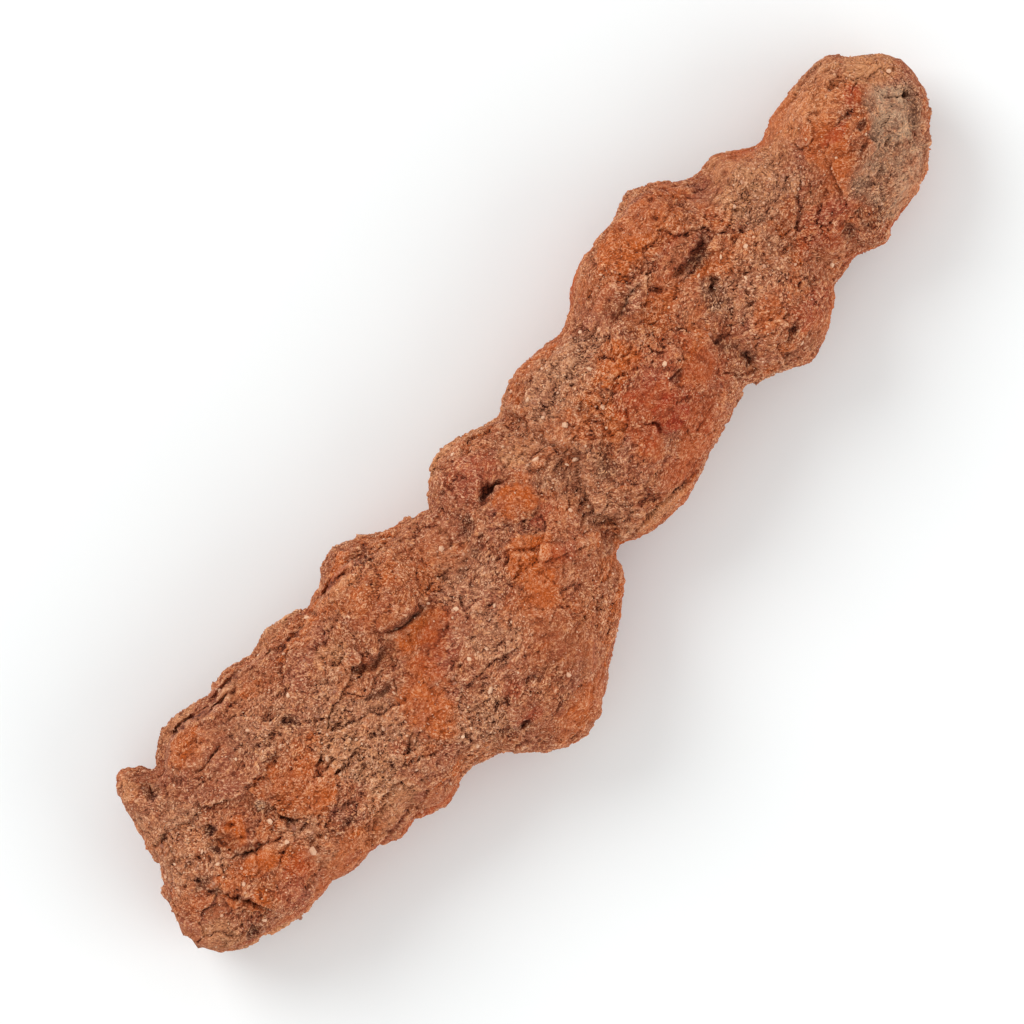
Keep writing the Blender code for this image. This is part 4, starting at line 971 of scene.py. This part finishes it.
def newPiece(name, points, faces, material, shares=None, smooth=True):
    # a mesh object from points in millimetres, with its named numbers for each point
    mesh = bpy.data.meshes.new(name)
    mesh.from_pydata((points * metresPerMm).tolist(), [], faces)
    for shareName, values in (shares or {}).items():
        layer = mesh.attributes.new(shareName, "FLOAT", "POINT")
        layer.data.foreach_set("value", values.astype(np.float32))
    mesh.materials.append(material)
    if smooth:
        mesh.shade_smooth()
    mesh.update()
    piece = bpy.data.objects.new(name, mesh)
    bpy.context.scene.collection.objects.link(piece)
    return piece


def rimDistance(along, travel, start, end, low, high):
    # how far inside a stretch of the grid each of its points lies
    fromEnds = np.minimum(along - start, end - along)[:, None]
    fromSides = np.minimum(travel - low, high - travel)[None, :]
    return np.minimum(fromEnds, fromSides).ravel()


def coveredDepth(along, travel):
    # the body lies deep under the middle of the crusts and at the surface past their rims
    ends = [min(c[0] for c in skins["crusts"].values()), max(c[1] for c in skins["crusts"].values())]
    start, end = xToAlong(ends)
    low, high = np.interp(np.radians(skins["crustAngles"]), sectionAngles, sectionTravel)
    total = np.interp(2.0 * math.pi, sectionAngles, sectionTravel)
    turned = np.where(travel > (low + high + total) / 2.0, travel - total, travel)
    inside = rimDistance(along, turned, start, end, low, high)
    return smoothStep(inside, *skins["body"]["sinkOver"]) * skins["body"]["sink"]


def rimDepth(along, travel):
    # a crust's rim dives below the surface
    inside = rimDistance(along, travel, along[0], along[-1], travel[0], travel[-1])
    return (1.0 - smoothStep(inside, 0.0, skins["rimWidth"])) * skins["rimSink"]


def closingPoints(along, whole):
    # the body's two end points, or the spine that closes a crust from inside
    if whole:
        return loftPoint(np.array([-1.0, 1.0]) * form["length"] / 2.0, np.zeros(2))[0]
    x = alongToX(along)
    middle = (formLine("farEdge", x) + formLine("nearEdge", x)) / 2.0
    height = (formLine("crest", x) + formLine("belly", x)) / 2.0
    return np.stack([x, middle, height], axis=1)


def makeSkin(name, along, travel, whole, material):
    # the sculpted grid, sunk where other skins cover it, worn level below and closed
    points, normals, loftNormals, shares = sculptSkin(along, travel, whole)
    sink = coveredDepth(along, travel) if whole else rimDepth(along, travel)
    extra = closingPoints(along, whole)
    quads, fans = skinFaces(len(along), len(travel), whole)
    settled = np.vstack([points - loftNormals * sink[:, None], extra])
    settled[:, 2] = np.maximum(settled[:, 2], 0.0)
    closed = {key: np.append(values, np.full(len(extra), values.mean())) for key, values in shares.items()}
    piece = newPiece(name, settled, quads.tolist() + fans.tolist(), material, closed)
    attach(piece, "root")
    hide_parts("coprolite")
    print(name, "made,", 2 * len(quads) + len(fans), "triangles")
    return {"points": settled[:len(points)], "normals": normals, "shares": shares}


stoneSkin = stoneMaterial()
body = makeSkin("stone_body", *bodyGrid(), True, stoneSkin)
crusts = [makeSkin(name, *crustGrid(*ends), False, stoneSkin) for name, ends in skins["crusts"].items()]

# Loose sand stuck in the surface. Big pale grains have their own places; the rest are scattered.
sand = {
    "seed": 5,
    "placed": [
        (-48.8, 2.1), (-56.2, -0.4), (-39.1, 1.7), (-36.5, 10.0), (-35.3, 0.7), (-28.4, 0.9), (-33.2, -6.7),
        (-38.9, -6.0), (-49.3, -0.9), (-48.2, -3.9), (-57.8, -4.9), (-56.4, -4.7), (-27.0, -8.2),
        (-18.0, 4.8), (-16.4, 2.0), (-13.2, -1.1), (-17.5, -3.7), (-19.7, -3.0), (-20.8, -7.2), (-17.2, -8.2),
        (-12.3, 7.7), (-3.3, 13.9), (2.5, 6.3), (0.8, -0.5), (5.6, 2.9), (4.5, 3.3), (7.8, 6.3), (14.4, 8.4),
        (12.2, 4.4), (10.7, 2.6), (20.5, 2.3), (23.4, 14.6), (25.8, 6.2), (30.6, 6.0), (34.0, 5.5),
        (34.1, 1.7), (36.7, 4.3), (41.8, -4.7), (45.8, 4.0), (51.2, 2.9), (-28.4, 14.2)],
    "placedRadius": (0.24, 0.44), "placedTone": (0.75, 1.0), "placedLookingUp": 0.35,
    # count, smallest and largest radius of each scattered size, and how their tones spread
    "coarse": (460, 0.15, 0.27), "medium": (1700, 0.10, 0.17), "fine": (7300, 0.06, 0.11),
    "tones": (1.7, 1.4),
    # where they lie: a little everywhere, most on sandy ground, few on clay and none on the worn flats
    "everywhere": 0.18, "clayLoss": 0.75, "clearOfGround": 0.3, "undersideShare": 5.0, "undersideFrom": -0.3,
    "sunk": 0.15,               # how far a grain's middle lies under the surface, as a share of its radius
    "stretch": (0.45, 1.50), "dents": (0.70, 1.18),
    "pale": "#ecc09c", "rosy": "#c88d6c", "brown": "#8d4d33",
    "name": "water_worn_quartz_sand", "roughness": 0.6, "ior": 1.54, "specular": 0.5,
}


def grainShape():
    # a 20-sided pebble of radius 1
    work = bmesh.new()
    bmesh.ops.create_icosphere(work, subdivisions=1, radius=1.0)
    corners = np.array([tuple(v.co) for v in work.verts])
    faces = np.array([[v.index for v in f.verts] for f in work.faces])
    work.free()
    return corners, faces


def scatterGrains(name, centres, normals, radii, tones, material, random):
    # every grain is the pebble with its own stretch, turn and dents, sunk part way into the surface
    corners, faces = grainShape()
    count = len(centres)
    stretch = random.uniform(*sand["stretch"], (count, 1, 3))
    dents = random.uniform(*sand["dents"], (count, len(corners), 1))
    turns, _ = np.linalg.qr(random.normal(size=(count, 3, 3)))
    turns *= np.linalg.det(turns)[:, None, None]
    shapes = np.einsum("nij,nkj->nki", turns, corners[None] * stretch * dents) * radii[:, None, None]
    middle = centres - normals * (radii * sand["sunk"])[:, None]
    allPoints = (shapes + middle[:, None, :]).reshape(-1, 3)
    allFaces = (faces[None] + np.arange(count)[:, None, None] * len(corners)).reshape(-1, 3)
    cornerTones = {"tone": np.repeat(tones, len(corners))}
    piece = newPiece(name, allPoints, allFaces.tolist(), material, cornerTones, smooth=False)
    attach(piece, "root")


def sandMaterial():
    # quartz and feldspar sand: each grain has one tone from brown through rosy to pale, with a slight gloss
    material, tree, shader = newMaterial(sand)
    tone = addNode(tree, "Attribute", {"attribute_name": "tone"}, {}).outputs["Fac"]
    colour = linearColour(sand["brown"])
    for start, name in ((0.0, "rosy"), (0.5, "pale")):
        share = addNode(tree, "MapRange", {}, {
            "Value": tone, "From Min": start, "From Max": start + 0.5}).outputs[0]
        colour = addNode(tree, "Mix", {"data_type": "RGBA"}, {
            0: share, 6: colour, 7: linearColour(sand[name])}).outputs[2]
    tree.links.new(colour, shader.inputs["Base Color"])
    return material


def makeSand():
    # the placed grains sit on the nearest point of a crust; the others are drawn by weight from all points
    random = np.random.default_rng(sand["seed"])
    made = [body] + crusts
    points, normals = [np.vstack([skin[key] for skin in made]) for key in ("points", "normals")]
    sandy, ochre, brick = [np.concatenate([skin["shares"][key] for skin in made])
                           for key in ("sand", "ochre", "brick")]
    isBody = np.arange(len(points)) < len(body["points"])
    up = np.flatnonzero((normals[:, 2] > sand["placedLookingUp"]) & ~isBody)
    chosen = [up[np.argmin(np.hypot(points[up, 0] - x, points[up, 1] - y))] for x, y in sand["placed"]]
    weight = (sand["everywhere"] + sandy) * (1.0 - sand["clayLoss"] * np.clip(ochre + brick, 0.0, 1.0))
    weight[np.abs(points[:, 2]) < sand["clearOfGround"]] = 0.0
    weight[isBody] *= np.where(normals[isBody, 2] < sand["undersideFrom"], sand["undersideShare"], 0.0)
    weight /= weight.sum()
    index = [np.array(chosen)]
    radii = [random.uniform(*sand["placedRadius"], len(chosen))]
    tones = [random.uniform(*sand["placedTone"], len(chosen))]
    for name in ("coarse", "medium", "fine"):
        count, smallest, largest = sand[name]
        index.append(random.choice(len(points), count, replace=False, p=weight))
        radii.append(random.uniform(smallest, largest, count))
        tones.append(random.beta(*sand["tones"], count))
    index, radii, tones = [np.concatenate(rows) for rows in (index, radii, tones)]
    scatterGrains("loose_sand", points[index], normals[index], radii, tones, sandMaterial(), random)


makeSand()
print("loose sand set")

# A pale matt floor, soft light all round, a large lamp on the far side and a weaker one on the near side.
studio = {
    "floor": {"name": "matt_white_board", "roughness": 0.9, "ior": 1.5, "specular": 0.2},
    "floorColour": "#f8fbfb", "floorSize": 6.0,
    "floorLevel": -0.02,        # millimetres, just clear of the flats that the fossil rests on
    "skyStrength": 0.72,
    "lamps": [
        {"name": "key_lamp", "from": (-0.10, 0.90, 0.78), "size": 0.8, "power": 6.4},
        {"name": "fill_lamp", "from": (0.35, -0.95, 0.50), "size": 1.2, "power": 4.8}],
    # the camera's own place and turn, what it takes in across in millimetres, and metres from the ground
    "lookAt": (-3.78, 4.38, 9.0), "turn": -49.0, "viewWidth": 117.92, "cameraHeight": 2.0, "seesTo": 20.0,
}


def makeStudio():
    # lamps face the middle of the fossil; the camera looks straight down with a long lens
    floorMaterial, _, shader = newMaterial(studio["floor"])
    shader.inputs["Base Color"].default_value = linearColour(studio["floorColour"])
    half = studio["floorSize"] / 2.0 / metresPerMm
    corners = np.array([(-1.0, -1.0, 0.0), (1.0, -1.0, 0.0), (1.0, 1.0, 0.0), (-1.0, 1.0, 0.0)]) * half
    corners[:, 2] = studio["floorLevel"]
    floor = newPiece("floor", corners, [(0, 1, 2, 3)], floorMaterial, smooth=False)

    scene = bpy.context.scene
    world = bpy.data.worlds.new("soft_sky")
    world.use_nodes = True
    world.node_tree.nodes["Background"].inputs["Color"].default_value = (1.0, 1.0, 1.0, 1.0)
    world.node_tree.nodes["Background"].inputs["Strength"].default_value = studio["skyStrength"]
    scene.world = world

    for lamp in studio["lamps"]:
        data = bpy.data.lights.new(lamp["name"], "AREA")
        data.shape = "DISK"
        data.size = lamp["size"]
        data.energy = lamp["power"]
        light = bpy.data.objects.new(lamp["name"], data)
        light.location = lamp["from"]
        light.rotation_euler = light.location.to_track_quat("Z", "Y").to_euler()
        light.visible_camera = False
        scene.collection.objects.link(light)

    cameraData = bpy.data.cameras.new("camera")
    cameraData.clip_end = studio["seesTo"]
    x, y, z = [value * metresPerMm for value in studio["lookAt"]]
    cameraData.lens = cameraData.sensor_width * studio["cameraHeight"] / (studio["viewWidth"] * metresPerMm)
    camera = bpy.data.objects.new("camera", cameraData)
    camera.location = (x, y, z + studio["cameraHeight"])
    camera.rotation_euler = (0.0, 0.0, math.radians(studio["turn"]))
    scene.collection.objects.link(camera)
    scene.camera = camera
    scene.view_settings.view_transform = "Standard"


makeStudio()
print("studio ready")
